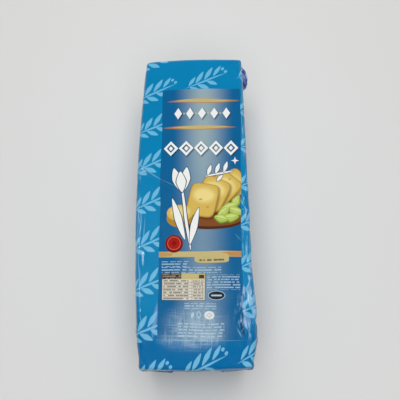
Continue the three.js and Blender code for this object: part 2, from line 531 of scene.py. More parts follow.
@dataclass(frozen=True)
class WrappedLoaf:
    """The block in its printed film: one closed mesh with a map of the print."""

    form: LoafForm
    film: SlackFilm = SlackFilm()
    across: int = 72
    along: int = 240
    up: int = 42
    edge: int = 5
    # The print was laid a little askew, and the film shrank more at the near end.
    print_offset: float = 5.65
    print_drift: float = 0.0205
    print_stretch: float = 0.00025
    # It also shrank more along its right side than along its left.
    print_fan: float = 0.00018
    # Shares of the baking map: the top's width, the ends' height and the gaps between.
    top_share: float = 0.6
    end_share: float = 0.14
    map_gap: float = 0.004

    def build(self) -> bpy.types.Object:
        """Builds the mesh.

        Returns:
            The film's object, in metres, on the loaf's own place.
        """
        form = self.form
        stops = [
            grid_stops(form.end_width / 2, form.edge_across, self.across, self.edge),
            grid_stops(form.rim_length / 2, form.edge_along, self.along, self.edge),
            grid_stops(form.rim_height / 2, form.edge_up, self.up, self.edge),
        ]
        cells, faces, sides = block_grid([len(places) for places in stops])
        block = np.column_stack([stops[axis][cells[:, axis]] for axis in range(3)])
        plain, out = form.rounded(block)
        shaped = form.shaped(plain)
        skin = shaped + out * self.film.rise(shaped, form)[:, None]
        skin[:, 2] = np.clip(skin[:, 2], 0, None)
        piece = film_piece("wrapped_loaf", skin, faces.tolist())
        self.map_print(piece.data, block, shaped, faces, sides)
        return piece

    def arc(self, stop: np.ndarray, half: float, radius: float) -> np.ndarray:
        """Length along the film from the middle of a face to each stop.

        Args:
            stop: Places on the plain block along one axis.
            half: Half the block's size on that axis.
            radius: The edge radius on that axis.

        Returns:
            The signed lengths, which follow the rounded edge.
        """
        flat = half - radius
        over = np.clip(np.abs(stop) - flat, 0, None)
        return np.sign(stop) * (np.minimum(np.abs(stop), flat) + radius * np.arctan(over / radius))

    def map_print(
        self, mesh: bpy.types.Mesh, block: np.ndarray, shaped: np.ndarray,
        faces: np.ndarray, sides: np.ndarray,
    ) -> None:
        """Lays the print and the baking map over the film.

        Args:
            mesh: The film's mesh.
            block: Each vertex's place on the plain block.
            shaped: Its place on the loaf.
            faces: The vertices of each face.
            sides: The side of the block that each face is on.
        """
        form = self.form
        corner = faces.ravel()
        side = np.repeat(sides, 4)
        halves = np.array([form.end_width, form.rim_length, form.rim_height]) / 2
        radii = np.array([form.edge_across, form.edge_along, form.edge_up])
        x, y, z = (
            self.arc(block[:, axis], halves[axis], radii[axis])[corner] for axis in range(3)
        )
        reach_x, reach_y, reach_z = halves + radii * (math.pi / 4 - 1)
        width = form.half_width(block[:, 0], shaped[:, 1])[corner] / halves[0]

        # The girth runs from the middle of the top over the sides to the underside.
        u = np.where(side == BlockSide.TOP, x * width, x)
        u = np.where(side == BlockSide.RIGHT, reach_x * width + reach_z - z, u)
        u = np.where(side == BlockSide.LEFT, -reach_x * width - reach_z + z, u)
        u = np.where(side == BlockSide.UNDER, reach_x * width + 2 * reach_z + reach_x - x, u)
        v = np.where(side == BlockSide.NEAR, -reach_y - reach_z + z, y)
        v = np.where(side == BlockSide.FAR, reach_y + reach_z - z, v)
        v = v * (1 - self.print_fan * np.clip(u, -reach_x, reach_x))
        laid = (u - self.print_offset - self.print_drift * v) / (1 + self.print_stretch * v)
        printed = mesh.uv_layers.new(name=PRINT_MAP)
        printed.data.foreach_set("uv", (np.column_stack([laid, v]) * MM).ravel())

        # The top takes most of the baking map, and the other sides fill strips beside it:
        # each lane has its left and low edge, its width and height, and the film's run
        # across and along it.
        flat = mesh.uv_layers.new(name=BAKE_MAP)
        across, along, up = x / reach_x, y / reach_y, z / reach_z
        top, rest = self.top_share, 1 - self.top_share
        tall, gap = 1 - self.end_share, self.map_gap
        lanes = {
            BlockSide.TOP: (0.0, 0.0, top, 1.0, across, along),
            BlockSide.LEFT: (top, 0.0, rest / 3, tall, up, along),
            BlockSide.RIGHT: (top + rest / 3, 0.0, rest / 3, tall, up, along),
            BlockSide.UNDER: (top + 2 * rest / 3, 0.0, rest / 3, tall, across, along),
            BlockSide.NEAR: (top, tall, rest / 2, self.end_share, across, up),
            BlockSide.FAR: (top + rest / 2, tall, rest / 2, self.end_share, across, up),
        }
        baked = np.zeros((len(x), 2))
        for one, (left, low, wide, high, s, t) in lanes.items():
            here = side == one
            baked[here, 0] = (left + gap + (wide - 2 * gap) * (s + 1) / 2)[here]
            baked[here, 1] = (low + gap + (high - 2 * gap) * (t + 1) / 2)[here]
        flat.data.foreach_set("uv", baked.ravel())
        mesh.uv_layers.active = printed


@dataclass(frozen=True)
class EndSeal:
    """The heat seal across one end of the bag, folded down on the face and crinkled."""

    form: LoafForm
    end: int
    inset: float = 4
    depth: float = 11
    root_depth: float = 2.5
    fold_rise: float = 0.6
    thickness: float = 0.9
    # The flat sealed band next to the fold, and the crinkled skirt below it.
    band: float = 4.5
    skirt_run: float = 3
    waves: float = 7
    wave_size: float = 0.5
    crimp_pitch: float = 1.5
    crimp_size: float = 0.12
    crinkle_pitch: tuple[float, float, float] = (3.4, 7.0, 5.0)
    crinkle_size: float = 0.45
    ragged_pitch: tuple[float, float, float] = (2.2, 5.0, 5.0)
    ragged_size: float = 0.5
    flare: float = 0.35
    least_lift: float = 0.15
    seed: float = 31
    # Where the print carries on over the strip, in mm on the laid-flat film.
    print_from: tuple[float, float] = (6, 250)
    across: int = 190
    down: int = 26

    def surface(self, x: np.ndarray, hang: np.ndarray, lift: np.ndarray) -> np.ndarray:
        """Places spots of the strip on the end of the loaf.

        Args:
            x: How far across the loaf each spot is.
            hang: How far down the strip, in mm from its root.
            lift: How far off the face.

        Returns:
            The places.
        """
        form = self.form
        s = x / (form.end_width / 2)
        share = np.clip(hang / self.depth, 0, 1)
        skirt = smooth(hang, self.band - 1, self.band + self.skirt_run)
        wave = self.wave_size * np.sin(math.pi * self.waves * s) * share
        flat = np.column_stack([x, hang, 0 * x])
        crinkle = self.crinkle_size * wander(flat, self.crinkle_pitch, self.seed + self.end)
        crimp = self.crimp_size * np.sin(2 * math.pi * hang / self.crimp_pitch) * (1 - skirt)
        edge = flat * (1, 0, 0)
        cut = self.ragged_size * wander(edge, self.ragged_pitch, self.seed + 2 + self.end)
        z = form.seal_root_z + self.fold_rise - hang + wave - cut * share * skirt
        face = form.rim_length / 2 + form.end_rise(s, z) + form.gusset(s, z)
        face = face + form.end_lean(np.full_like(z, self.end), z)
        out = lift + wave / 2 + skirt * (crinkle + self.flare * share) + crimp * (lift > 0.3)
        out = np.where(lift < 0, lift, np.maximum(out, self.least_lift))
        skew = form.far_end_skew * s / 2 if self.end > 0 else 0 * s
        return np.column_stack([x, self.end * (face + out) + skew, z])

    def build(self) -> bpy.types.Object:
        """Builds the strip.

        Returns:
            The strip's object.
        """
        half = self.form.end_width / 2 - self.inset
        x = np.linspace(-half, half, self.across + 1)
        down = np.linspace(0.0, self.depth, self.down + 1)
        # The strip's outline: how far down it each spot is, and how far off the face.
        profile = [(-0.6, -self.root_depth), (-0.45, 0.1), (-0.1, self.thickness * 0.8)]
        profile += [(d, self.thickness) for d in down[1:]]
        profile += [(self.depth + 0.1, self.thickness * 0.6), (self.depth, 0.2)]
        profile += [(d, 0.2) for d in down[-2:0:-1]]
        profile += [(0.8, 0.0), (0.5, -self.root_depth)]
        rows, count = len(profile), self.across + 1
        hang = np.repeat([p[0] for p in profile], count)
        lift = np.repeat([p[1] for p in profile], count)
        spots = self.surface(np.tile(x, rows), hang, lift)
        rings = np.arange(rows * count).reshape(rows, count).T
        name = "far_end_seal" if self.end > 0 else "near_end_seal"
        piece = film_piece(name, spots, strip_faces(rings, flipped=self.end > 0))
        printed = piece.data.uv_layers.new(name=PRINT_MAP)
        corner = np.array([loop.vertex_index for loop in piece.data.loops])
        across, along = self.print_from
        laid = np.column_stack([spots[:, 0] - across, self.end * (along + hang)])[corner]
        printed.data.foreach_set("uv", (laid * MM).ravel())
        return piece


@dataclass(frozen=True)
class CornerEar:
    """A corner of the bag that shrank into a crumpled doubled flap on a side wall."""

    form: LoafForm
    name: str
    side: int
    y: float
    z: float
    length: float
    reach: float
    droop: float
    seed: float
    root_depth: float = 2.5
    thickness: float = 1.3
    rim_thickness: float = 0.35
    pleats: float = 5
    pleat_size: float = 0.9
    pleat_power: float = 0.7
    crumple_size: float = 0.8
    crumple_pitch: tuple[float, float, float] = (3.4, 3.0, 5.0)
    crumple_sink: float = 0.4
    swing_size: float = 0.7
    swing_pitch: tuple[float, float, float] = (6, 5, 5)
    swing_shift: float = 0.5
    # The rim is ragged by this share of its reach.
    ragged_pitch: tuple[float, float, float] = (2.6, 1, 1)
    ragged_share: float = 0.16
    # Width of the flap from its root to its rim when it is laid flat.
    flat_width: float = 9
    along: int = 88
    outward: int = 26

    def build(self) -> bpy.types.Object:
        """Builds the ear.

        Returns:
            The ear's object.
        """
        form = self.form
        t = np.linspace(0.0, 1.0, self.along + 1)
        w = np.linspace(0.0, 1.0, self.outward + 1)
        both = np.concatenate([w, w[-2:0:-1]])
        layers = np.concatenate([np.ones_like(w), -np.ones(len(w) - 2)])
        layers[self.outward] = 0
        tt, ww = np.meshgrid(t, both, indexing="ij")
        fullness = (4 * self.reach + self.root_depth) / 3
        run = self.length / 2 * (
            (1 - tt) ** 3 + 3 * tt * (1 - tt) ** 2 - 3 * tt * tt * (1 - tt) - tt**3
        )
        rim = -self.root_depth + (fullness + self.root_depth) * 3 * tt * (1 - tt)
        flat = np.column_stack([run.ravel(), ww.ravel() * self.flat_width, 0 * run.ravel()])
        along_rim = flat * (1, 0, 0)
        jag = wander(along_rim, self.ragged_pitch, self.seed).reshape(tt.shape)
        rim = rim * (1 - self.ragged_share * np.abs(jag) * (rim > 1))
        out = -self.root_depth + (rim + self.root_depth) * ww
        swing = self.swing_size * wander(flat, self.swing_pitch, self.seed + 1).reshape(tt.shape)
        pleat = np.sin(2 * math.pi * self.pleats * (tt + 0.05 * swing))
        pleat = np.sign(pleat) * np.abs(pleat) ** self.pleat_power
        crumple = creased(flat, self.crumple_pitch, self.seed + 2).reshape(tt.shape)
        crumple = crumple - self.crumple_sink
        free = np.clip(out / self.reach, 0, 1)
        ends = np.clip(np.sin(math.pi * tt), 0, 1) ** 0.5
        bend = self.droop * free**2
        z = self.z - bend + free**0.7 * ends * (
            self.pleat_size * pleat + self.crumple_size * crumple + swing
        )
        thick = self.rim_thickness + (self.thickness - self.rim_thickness) * (1 - free**2)
        z += layers * thick / 2
        y = self.y + run + self.swing_shift * free * swing
        side = np.full(tt.shape, self.side)
        x = side * (form.half_width(side, y) + form.side_bulge(side, y, z) + out)
        spots = np.column_stack([x.ravel(), y.ravel(), z.ravel()])
        rings = np.arange(tt.size).reshape(tt.shape)
        return film_piece(self.name, spots, strip_faces(rings, flipped=self.side > 0))


# ---------------------------------------------------------------------------- finishes


def linear(ink: str) -> tuple[float, float, float, float]:
    """Turns an sRGB hex colour into the linear colour that shaders take.

    Args:
        ink: The colour, such as "#1A86B4".

    Returns:
        Linear red, green, blue and an alpha of 1.
    """
    coded = [int(ink[i : i + 2], 16) / 255 for i in (1, 3, 5)]
    red, green, blue = (
        c / 12.92 if c <= 0.04045 else ((c + 0.055) / 1.055) ** 2.4 for c in coded
    )
    return (red, green, blue, 1.0)


def add_node(
    tree: bpy.types.NodeTree,
    kind: str,
    settings: Optional[dict[str, Any]] = None,
    links: Optional[dict[Any, Any]] = None,
) -> bpy.types.Node:
    """Adds a node with its settings, its input values and its links.

    Args:
        tree: The node tree that takes it.
        kind: The node's Blender type.
        settings: Its properties by name.
        links: Its inputs by name or number: a socket to link, or a value to set.

    Returns:
        The node.
    """
    node = tree.nodes.new(kind)
    for name, value in (settings or {}).items():
        setattr(node, name, value)
    for place, value in (links or {}).items():
        if isinstance(value, bpy.types.NodeSocket):
            tree.links.new(value, node.inputs[place])
        else:
            node.inputs[place].default_value = value
    return node


class Outline(Enum):
    """How square a printed shape is, as the power of its superellipse."""

    LOZENGE = 1.0
    LEAF = 1.35
    OVAL = 2.0
    CUSHION = 5.0
    BLOCK = 60.0


class Ink(Enum):
    """The printing inks, as they look on the film, and the colours of painted shade, sheen and
    glints.
    """

    CYAN = "#0C84B6"
    CYAN_DEEP = "#0678AC"
    # Painted shade: the ground's darker cyan towards the near end.
    CYAN_NEAR_SHADE = "#00669F"
    SPRIG = "#76BEDE"
    PANEL = "#0F5F92"
    # The panel's glow, partly print and partly painted sheen.
    PANEL_GLOW_AND_SHEEN = "#96ABB2"
    WHITE = "#E9EBE8"
    NAVY = "#0A2A4A"
    GOLD = "#BFB079"
    ORANGE = "#B87430"
    CREAM = "#D2CCBC"
    RULE = "#57534A"
    DARK = "#26282C"
    UMBER = "#463A28"
    RED = "#A51A12"
    RED_DEEP = "#761012"
    CHEESE = "#D0B055"
    CHEESE_PALE = "#EAD88E"
    CHEESE_DEEP = "#A98430"
    BOARD = "#7E4A26"
    BOARD_DEEP = "#4E2A16"
    GREEN = "#A8BC4C"
    GREEN_PALE = "#D3DE8E"
    GREEN_DEEP = "#5E8430"
    PALE_PRINT = "#A9C6D8"
    # Painted reflection: the pale haze low on the panel.
    HAZE_SHEEN = "#B4CBD8"
    # Painted glints on folds, and last the dark of painted shade in creases.
    GLINT = "#8CC4DE"
    GLINT_PALE = "#B9D2EC"
    GLINT_VIOLET = "#92AEDA"
    CREASE_SHADE = "#0B3558"


@dataclass(frozen=True)
class PrintedShape:
    """One shape of the print, placed on the laid-flat film in mm."""

    outline: Outline
    centre: tuple[float, float]
    half: tuple[float, float]
    ink: Ink
    turn: float = 0
    stroke: float = 0
    copies: int = 0
    pitch: float = 1
    opacity: float = 1
    blur: float = 0.25
    shadow: bool = False
    rim: Optional[Ink] = None
    rim_width: float = 0.7


@dataclass(frozen=True)
class PaintedStreak:
    """A painted streak: a painted highlight where a fold catches light, or painted shade in a
    crease.
    """

    start: tuple[float, float]
    end: tuple[float, float]
    width: float
    strength: float = 0.5
    ink: Ink = Ink.GLINT

    def shape(self) -> PrintedShape:
        """The streak as a long soft leaf.

        Returns:
            The leaf between the two ends.
        """
        run_u, run_v = self.end[0] - self.start[0], self.end[1] - self.start[1]
        return PrintedShape(
            Outline.LEAF, (self.start[0] + run_u / 2, self.start[1] + run_v / 2),
            (math.hypot(run_u, run_v) / 2, self.width / 2), self.ink,
            turn=math.degrees(math.atan2(run_v, run_u)), opacity=self.strength,
            blur=0.7 * self.width,
        )


@dataclass(frozen=True)
class PaintedSheenPatch:
    """A patch of painted sheen: film painted pale along threads of noise, as painted reflection.
    """

    centre: tuple[float, float]
    half: tuple[float, float]
    blur: float
    strength: float
    ink: Ink
    # Swings of each thread in a mm along the film's own axes.
    threads: tuple[tuple[float, float, float], ...]
    # Levels of the noise between which a thread comes up, and what shows beside it.
    levels: tuple[float, float]
    least: float
    detail: float = 1
    distortion: float = 0


@dataclass(frozen=True)
class SmallPrint:
    """A block of bars where small print would run."""

    centre: tuple[float, float]
    half: tuple[float, float]
    ink: Ink
    pitch: float = 2.5
    word: float = 5.0
    seed: float = 0.0
    weight: float = 0.25
    opacity: float = 0.8


class Step:
    """One sum of a stencil: its name, its operation, and the names or numbers it takes."""

    def __init__(self, name: str, work: str, *takes: Any) -> None:
        """Keeps what the sum is.

        Args:
            name: What its result is called.
            work: The operation.
            takes: Names of inputs or of earlier sums, or numbers.
        """
        self.name, self.work, self.takes = name, work, takes


class Stencil:
    """Node groups that tell how much of a printed shape covers each spot of the film.

    All sums are plain numbers, never vectors, so that the renderer can work them out one
    shape after another in little memory.
    """

    FILLED = 1000.0
    # A superellipse that can be turned, repeated in a row or drawn as a ring. Away is the
    # distance out of its edge, in mm.
    SHAPE = (
        Step("du", "SUBTRACT", "U", "Centre U"),
        Step("dv", "SUBTRACT", "V", "Centre V"),
        Step("cos", "COSINE", "Turn"),
        Step("sin", "SINE", "Turn"),
        Step("u cos", "MULTIPLY", "du", "cos"),
        Step("row x", "MULTIPLY_ADD", "dv", "sin", "u cos"),
        Step("u sin", "MULTIPLY", "du", "sin"),
        Step("v cos", "MULTIPLY", "dv", "cos"),
        Step("y", "SUBTRACT", "v cos", "u sin"),
        Step("steps", "DIVIDE", "row x", "Pitch"),
        Step("nearest", "ROUND", "steps"),
        Step("last", "MINIMUM", "nearest", "Copies"),
        Step("first", "MULTIPLY", "Copies", -1.0),
        Step("copy", "MAXIMUM", "last", "first"),
        Step("shift", "MULTIPLY", "copy", "Pitch"),
        Step("x", "SUBTRACT", "row x", "shift"),
        Step("x size", "ABSOLUTE", "x"),
        Step("y size", "ABSOLUTE", "y"),
        Step("x share", "DIVIDE", "x size", "Half U"),
        Step("y share", "DIVIDE", "y size", "Half V"),
        Step("wider", "MAXIMUM", "x share", "y share"),
        Step("reach", "MAXIMUM", "wider", 0.0001),
        Step("sx", "DIVIDE", "x share", "reach"),
        Step("sy", "DIVIDE", "y share", "reach"),
        Step("less", "SUBTRACT", "Power", 1.0),
        Step("ex", "POWER", "sx", "less"),
        Step("ey", "POWER", "sy", "less"),
        Step("px", "MULTIPLY", "ex", "sx"),
        Step("total", "MULTIPLY_ADD", "ey", "sy", "px"),
        Step("gx", "DIVIDE", "ex", "Half U"),
        Step("gy", "DIVIDE", "ey", "Half V"),
        Step("gx square", "MULTIPLY", "gx", "gx"),
        Step("steep square", "MULTIPLY_ADD", "gy", "gy", "gx square"),
        Step("steep", "SQRT", "steep square"),
        Step("root", "DIVIDE", 1.0, "Power"),
        Step("swell", "POWER", "total", "root"),
        Step("past edge", "MULTIPLY_ADD", "reach", "swell", -1.0),
        Step("scale", "DIVIDE", "total", "steep"),
        Step("length", "DIVIDE", "scale", "swell"),
        Step("out", "MULTIPLY", "past edge", "length"),
        Step("inside", "MULTIPLY", "out", -1.0),
        Step("hollow", "SUBTRACT", "inside", "Stroke"),
        Step("away", "MAXIMUM", "out", "hollow"),
        Step("soft", "DIVIDE", "away", "Blur"),
        Step("shown", "SUBTRACT", 0.5, "soft"),
        Step("Cover", "SMOOTHSTEP", "shown"),
    )
    # Bars of broken length in rows.
    LINES = (
        Step("du", "SUBTRACT", "U", "Centre U"),
        Step("dv", "SUBTRACT", "V", "Centre V"),
        Step("lines", "DIVIDE", "dv", "Pitch"),
        Step("line", "ROUND", "lines"),
        Step("off", "SUBTRACT", "lines", "line"),
        Step("height", "ABSOLUTE", "off"),
        Step("bar", "LESS_THAN", "height", "Weight"),
        Step("u size", "ABSOLUTE", "du"),
        Step("v size", "ABSOLUTE", "dv"),
        Step("wide", "LESS_THAN", "u size", "Half U"),
        Step("tall", "LESS_THAN", "v size", "Half V"),
        Step("block", "MULTIPLY", "wide", "tall"),
        Step("run", "DIVIDE", "du", "Word"),
        Step("row", "MULTIPLY_ADD", "line", 23.37, "Seed"),
        Step("at", "ADD", "run", "row"),
        Step("words", "NOISE", "at", 1.7),
        Step("word", "GREATER_THAN", "words", 0.40),
        Step("letters", "NOISE", "at", 8.0),
        Step("thin", "MULTIPLY_ADD", "letters", 1.6, 0.1),
        Step("letter", "MINIMUM", "thin", 1.0),
        Step("in word", "MULTIPLY", "bar", "word"),
        Step("inked", "MULTIPLY", "in word", "letter"),
        Step("Cover", "MULTIPLY", "inked", "block"),
    )

    def __init__(self) -> None:
        """Builds the two groups that all printed shapes share."""
        self.shape = self.group(
            "PrintedShape",
            {"U": 0.0, "V": 0.0, "Centre U": 0.0, "Centre V": 0.0, "Half U": 1.0,
             "Half V": 1.0, "Turn": 0.0, "Power": 2.0, "Stroke": self.FILLED,
             "Copies": 0.0, "Pitch": 1.0, "Blur": 0.25},
            self.SHAPE,
            ("Cover",),
        )
        self.lines = self.group(
            "SmallPrint",
            {"U": 0.0, "V": 0.0, "Centre U": 0.0, "Centre V": 0.0, "Half U": 1.0,
             "Half V": 1.0, "Pitch": 2.5, "Word": 5.0, "Seed": 0.0, "Weight": 0.25},
            self.LINES,
            ("Cover",),
        )

    @staticmethod
    def group(
        name: str, inputs: dict[str, float], steps: tuple[Step, ...], outputs: tuple[str, ...]
    ) -> bpy.types.NodeTree:
        """Builds a group that works out a list of sums.

        Args:
            name: The group's name.
            inputs: Its inputs with their usual values.
            steps: The sums, in order.
            outputs: The sums that it gives out.

        Returns:
            The group.
        """
        tree = bpy.data.node_groups.new(name, "ShaderNodeTree")
        for title, usual in inputs.items():
            socket = tree.interface.new_socket(
                name=title, in_out="INPUT", socket_type="NodeSocketFloat"
            )
            socket.default_value = usual
        for title in outputs:
            tree.interface.new_socket(
                name=title, in_out="OUTPUT", socket_type="NodeSocketFloat"
            )
        given = tree.nodes.new("NodeGroupInput")
        result = tree.nodes.new("NodeGroupOutput")
        known: dict[str, bpy.types.NodeSocket] = {
            title: given.outputs[title] for title in inputs
        }
        for step in steps:
            takes = [known[one] if isinstance(one, str) else one for one in step.takes]
            if step.work == "NOISE":
                node = add_node(
                    tree, "ShaderNodeTexNoise", {"noise_dimensions": "1D"},
                    {"W": takes[0], "Scale": takes[1], "Detail": 0.0},
                )
            elif step.work == "SMOOTHSTEP":
                node = add_node(
                    tree, "ShaderNodeMapRange", {"interpolation_type": "SMOOTHSTEP"},
                    {"Value": takes[0]},
                )
            else:
                node = add_node(
                    tree, "ShaderNodeMath", {"operation": step.work}, dict(enumerate(takes))
                )
            known[step.name] = node.outputs[0]
        for title in outputs:
            tree.links.new(known[title], result.inputs[title])
        return tree


@dataclass(frozen=True)
class Press:
    """Prints on the film: the material's nodes, and each spot's place on the print in mm."""

    tree: bpy.types.NodeTree
    stencil: Stencil
    u: bpy.types.NodeSocket
    v: bpy.types.NodeSocket
    shadow_ink: Ink = Ink.NAVY
    shadow_offset: tuple[float, float] = (0.9, -1.0)
    shadow_growth: float = 0.3
    shadow_blur: float = 2.2
    shadow_opacity: float = 0.75
    # How far apart two blocks of small print start in the noise that breaks their bars.
    seed_step: float = 3.1

    def cover(
        self, shape: PrintedShape, offset: tuple[float, float] = (0, 0), grown: float = 0,
        blur: float = 0,
    ) -> bpy.types.NodeSocket:
        """Tells how much of one shape covers each spot.

        Args:
            shape: The shape.
            offset: How far it is moved, in mm.
            grown: How much it is grown all round, in mm.
            blur: The width of its soft edge in place of its own, in mm.

        Returns:
            The cover, from 0 to 1.
        """
        stroke = shape.stroke + 2 * grown if shape.stroke else Stencil.FILLED
        return add_node(
            self.tree, "ShaderNodeGroup", {"node_tree": self.stencil.shape},
            {"U": self.u, "V": self.v, "Centre U": shape.centre[0] + offset[0],
             "Centre V": shape.centre[1] + offset[1], "Half U": shape.half[0] + grown,
             "Half V": shape.half[1] + grown, "Turn": math.radians(shape.turn),
             "Power": shape.outline.value, "Stroke": stroke, "Copies": float(shape.copies),
             "Pitch": float(shape.pitch), "Blur": blur or shape.blur},
        ).outputs["Cover"]

    def over(
        self, under: Any, ink: Ink, cover: bpy.types.NodeSocket, opacity: Any = 1.0
    ) -> bpy.types.NodeSocket:
        """Lays an ink over the colour that is there.

        Args:
            under: The colour so far, a socket or a value.
            ink: The ink.
            cover: How much of each spot it covers.
            opacity: How much it hides where it does, a socket or a value.

        Returns:
            The colour with the ink on it.
        """
        share = add_node(
            self.tree, "ShaderNodeMath", {"operation": "MULTIPLY"}, {0: cover, 1: opacity}
        )
        return add_node(
            self.tree, "ShaderNodeMix", {"data_type": "RGBA"},
            {0: share.outputs[0], 6: under, 7: linear(ink.value)},
        ).outputs[2]

    def shape(self, shape: PrintedShape, under: bpy.types.NodeSocket) -> bpy.types.NodeSocket:
        """Prints one shape, with its shadow and its edge.

        Args:
            shape: What is printed.
            under: The colour so far.

        Returns:
            The colour with the shape on it.
        """
        if shape.shadow:
            cast = self.cover(shape, self.shadow_offset, self.shadow_growth, self.shadow_blur)
            under = self.over(under, self.shadow_ink, cast, self.shadow_opacity)
        if shape.rim:
            under = self.over(under, shape.rim, self.cover(shape, grown=shape.rim_width))
        return self.over(under, shape.ink, self.cover(shape), shape.opacity)

    def bars(self, block: SmallPrint, under: bpy.types.NodeSocket) -> bpy.types.NodeSocket:
        """Prints one block of bars.

        Args:
            block: The block.
            under: The colour so far.

        Returns:
            The colour with the bars on it.
        """
        cover = add_node(
            self.tree, "ShaderNodeGroup", {"node_tree": self.stencil.lines},
            {"U": self.u, "V": self.v, "Centre U": block.centre[0],
             "Centre V": block.centre[1], "Half U": block.half[0], "Half V": block.half[1],
             "Pitch": block.pitch, "Word": block.word, "Seed": block.seed * self.seed_step,
             "Weight": block.weight},
        ).outputs[0]
        return self.over(under, block.ink, cover, block.opacity)

    def painted_sheen(
        self, place: bpy.types.NodeSocket, patch: PaintedSheenPatch, under: bpy.types.NodeSocket
    ) -> bpy.types.NodeSocket:
        """Paints a patch of pale painted sheen on the film along its threads.

        Args:
            place: The place on the flat print, in mm.
            patch: The patch.
            under: The colour so far.

        Returns:
            The colour with the patch on it.
        """
        painted_sheen = None
        for scale in patch.threads:
            drawn = add_node(
                self.tree, "ShaderNodeMapping", {}, {"Vector": place, "Scale": scale}
            )
            thread = add_node(
                self.tree, "ShaderNodeTexNoise", {},
                {"Vector": drawn.outputs[0], "Scale": 1.0, "Detail": patch.detail,
                 "Distortion": patch.distortion},
            ).outputs["Fac"]
            painted_sheen = thread if painted_sheen is None else add_node(
                self.tree, "ShaderNodeMath", {"operation": "MAXIMUM"}, {0: painted_sheen, 1: thread}
            ).outputs[0]
        broken = add_node(
            self.tree, "ShaderNodeMapRange", {},
            {"Value": painted_sheen, "From Min": patch.levels[0], "From Max": patch.levels[1],
             "To Min": patch.least * patch.strength, "To Max": patch.strength},
        )
        spread = PrintedShape(Outline.OVAL, patch.centre, patch.half, patch.ink, blur=patch.blur)
        return self.over(under, patch.ink, self.cover(spread), broken.outputs[0])


# A leafy twig that rises to the right, in mm round its middle.
SPRIG = (
    *(PrintedShape(Outline.LEAF, centre, half, Ink.SPRIG, turn=turn) for centre, half, turn in (
        ((0.0, -1.0), (20.0, 1.0), 12),
        ((-13.6, 1.4), (1.9, 5.6), -34),
        ((-6.2, 4.2), (2.3, 7.0), -32),
        ((2.6, 6.4), (2.3, 7.2), -34),
        ((11.0, 7.4), (2.0, 6.0), -36),
        ((-10.8, -8.0), (1.9, 5.6), 58),
        ((-2.4, -7.2), (2.2, 6.6), 58),
        ((6.2, -4.8), (2.0, 6.0), 60),
    )),
    PrintedShape(Outline.OVAL, (16.4, 8.6), (1.5, 1.5), Ink.SPRIG),
    PrintedShape(Outline.OVAL, (19.4, 5.0), (1.5, 1.5), Ink.SPRIG),
)


@dataclass(frozen=True)
class SprigGround:
    """How the sprigs repeat over the ground colour of the film."""

    first: tuple[float, float] = (4.0, 125.0)
    pitch: tuple[float, float] = (48.8, 38.67)
    slope: float = 0.221
    blur: float = 0.5

    def cover(self, press: Press) -> bpy.types.NodeSocket:
        """Draws the sprigs over all of the film.

        Args:
            press: What prints on the film.

        Returns:
            How much the sprigs cover each spot.
        """
        steps = (
            Step("x", "SUBTRACT", "U", self.first[0]),
            Step("level", "SUBTRACT", "V", self.first[1]),
            Step("y", "MULTIPLY_ADD", "x", -self.slope, "level"),
            Step("columns", "DIVIDE", "x", self.pitch[0]),
            Step("column", "ROUND", "columns"),
            Step("Cell U", "MULTIPLY_ADD", "column", -self.pitch[0], "x"),
            Step("rows", "DIVIDE", "y", self.pitch[1]),
            Step("row", "ROUND", "rows"),
            Step("Cell V", "MULTIPLY_ADD", "row", -self.pitch[1], "y"),
        )
        cells = press.stencil.group(
            "SprigCells", {"U": 0.0, "V": 0.0}, steps, ("Cell U", "Cell V")
        )
        cell = add_node(
            press.tree, "ShaderNodeGroup", {"node_tree": cells}, {"U": press.u, "V": press.v}
        )
        on_cell = Press(press.tree, press.stencil, cell.outputs[0], cell.outputs[1])
        cover = None
        for shape in SPRIG:
            drawn = on_cell.cover(shape, blur=self.blur)
            cover = drawn if cover is None else add_node(
                press.tree, "ShaderNodeMath", {"operation": "MAXIMUM"}, {0: cover, 1: drawn}
            ).outputs[0]
        return cover


# Gold rules with a row of white lozenges between them, and a row of open ones below.
HEADER_ORNAMENT = (
    PrintedShape(Outline.LEAF, (2, 101.5), (34, 2.5), Ink.ORANGE, blur=1.2),
    PrintedShape(Outline.LEAF, (1, 101.8), (26, 2.1), Ink.GOLD, blur=1.6),
    PrintedShape(Outline.LEAF, (-2, 73.0), (34, 2.5), Ink.ORANGE, blur=1.2),
    PrintedShape(Outline.LEAF, (-1, 73.3), (26, 2.1), Ink.GOLD, blur=1.6),
    PrintedShape(Outline.LOZENGE, (0.6, 88), (3.7, 6.0), Ink.WHITE, copies=2, pitch=11.6,
                 shadow=True),
    PrintedShape(Outline.OVAL, (6.4, 88), (1.0, 1.0), Ink.GOLD, copies=1, pitch=11.6),
    PrintedShape(Outline.OVAL, (-16.8, 88), (1.0, 1.0), Ink.GOLD),
    PrintedShape(Outline.LOZENGE, (0, 50.6), (6.9, 7.9), Ink.WHITE, copies=2, pitch=14.3,
                 stroke=2.2, shadow=True),
    PrintedShape(Outline.LOZENGE, (0, 50.6), (2.1, 2.6), Ink.WHITE, copies=2, pitch=14.3),
)

# A white tulip with a dark edge: its stem, two long leaves and three petals.
TULIP = tuple(
    PrintedShape(outline, centre, half, Ink.WHITE, turn=turn, rim=Ink.NAVY, rim_width=0.8)
    for outline, centre, half, turn in (
        (Outline.OVAL, (-13.6, -18), (1.3, 32), 8),
        (Outline.LEAF, (-20.5, -20), (3.4, 21), 17),
        (Outline.LEAF, (-5.6, -27), (3.2, 18), -14),
        (Outline.LEAF, (-22.4, 19), (4.2, 11.5), 16),
        (Outline.LEAF, (-14.4, 20), (4.2, 11.5), -4),
        (Outline.LEAF, (-18.4, 16.5), (4.4, 10.5), 6),
    )
)

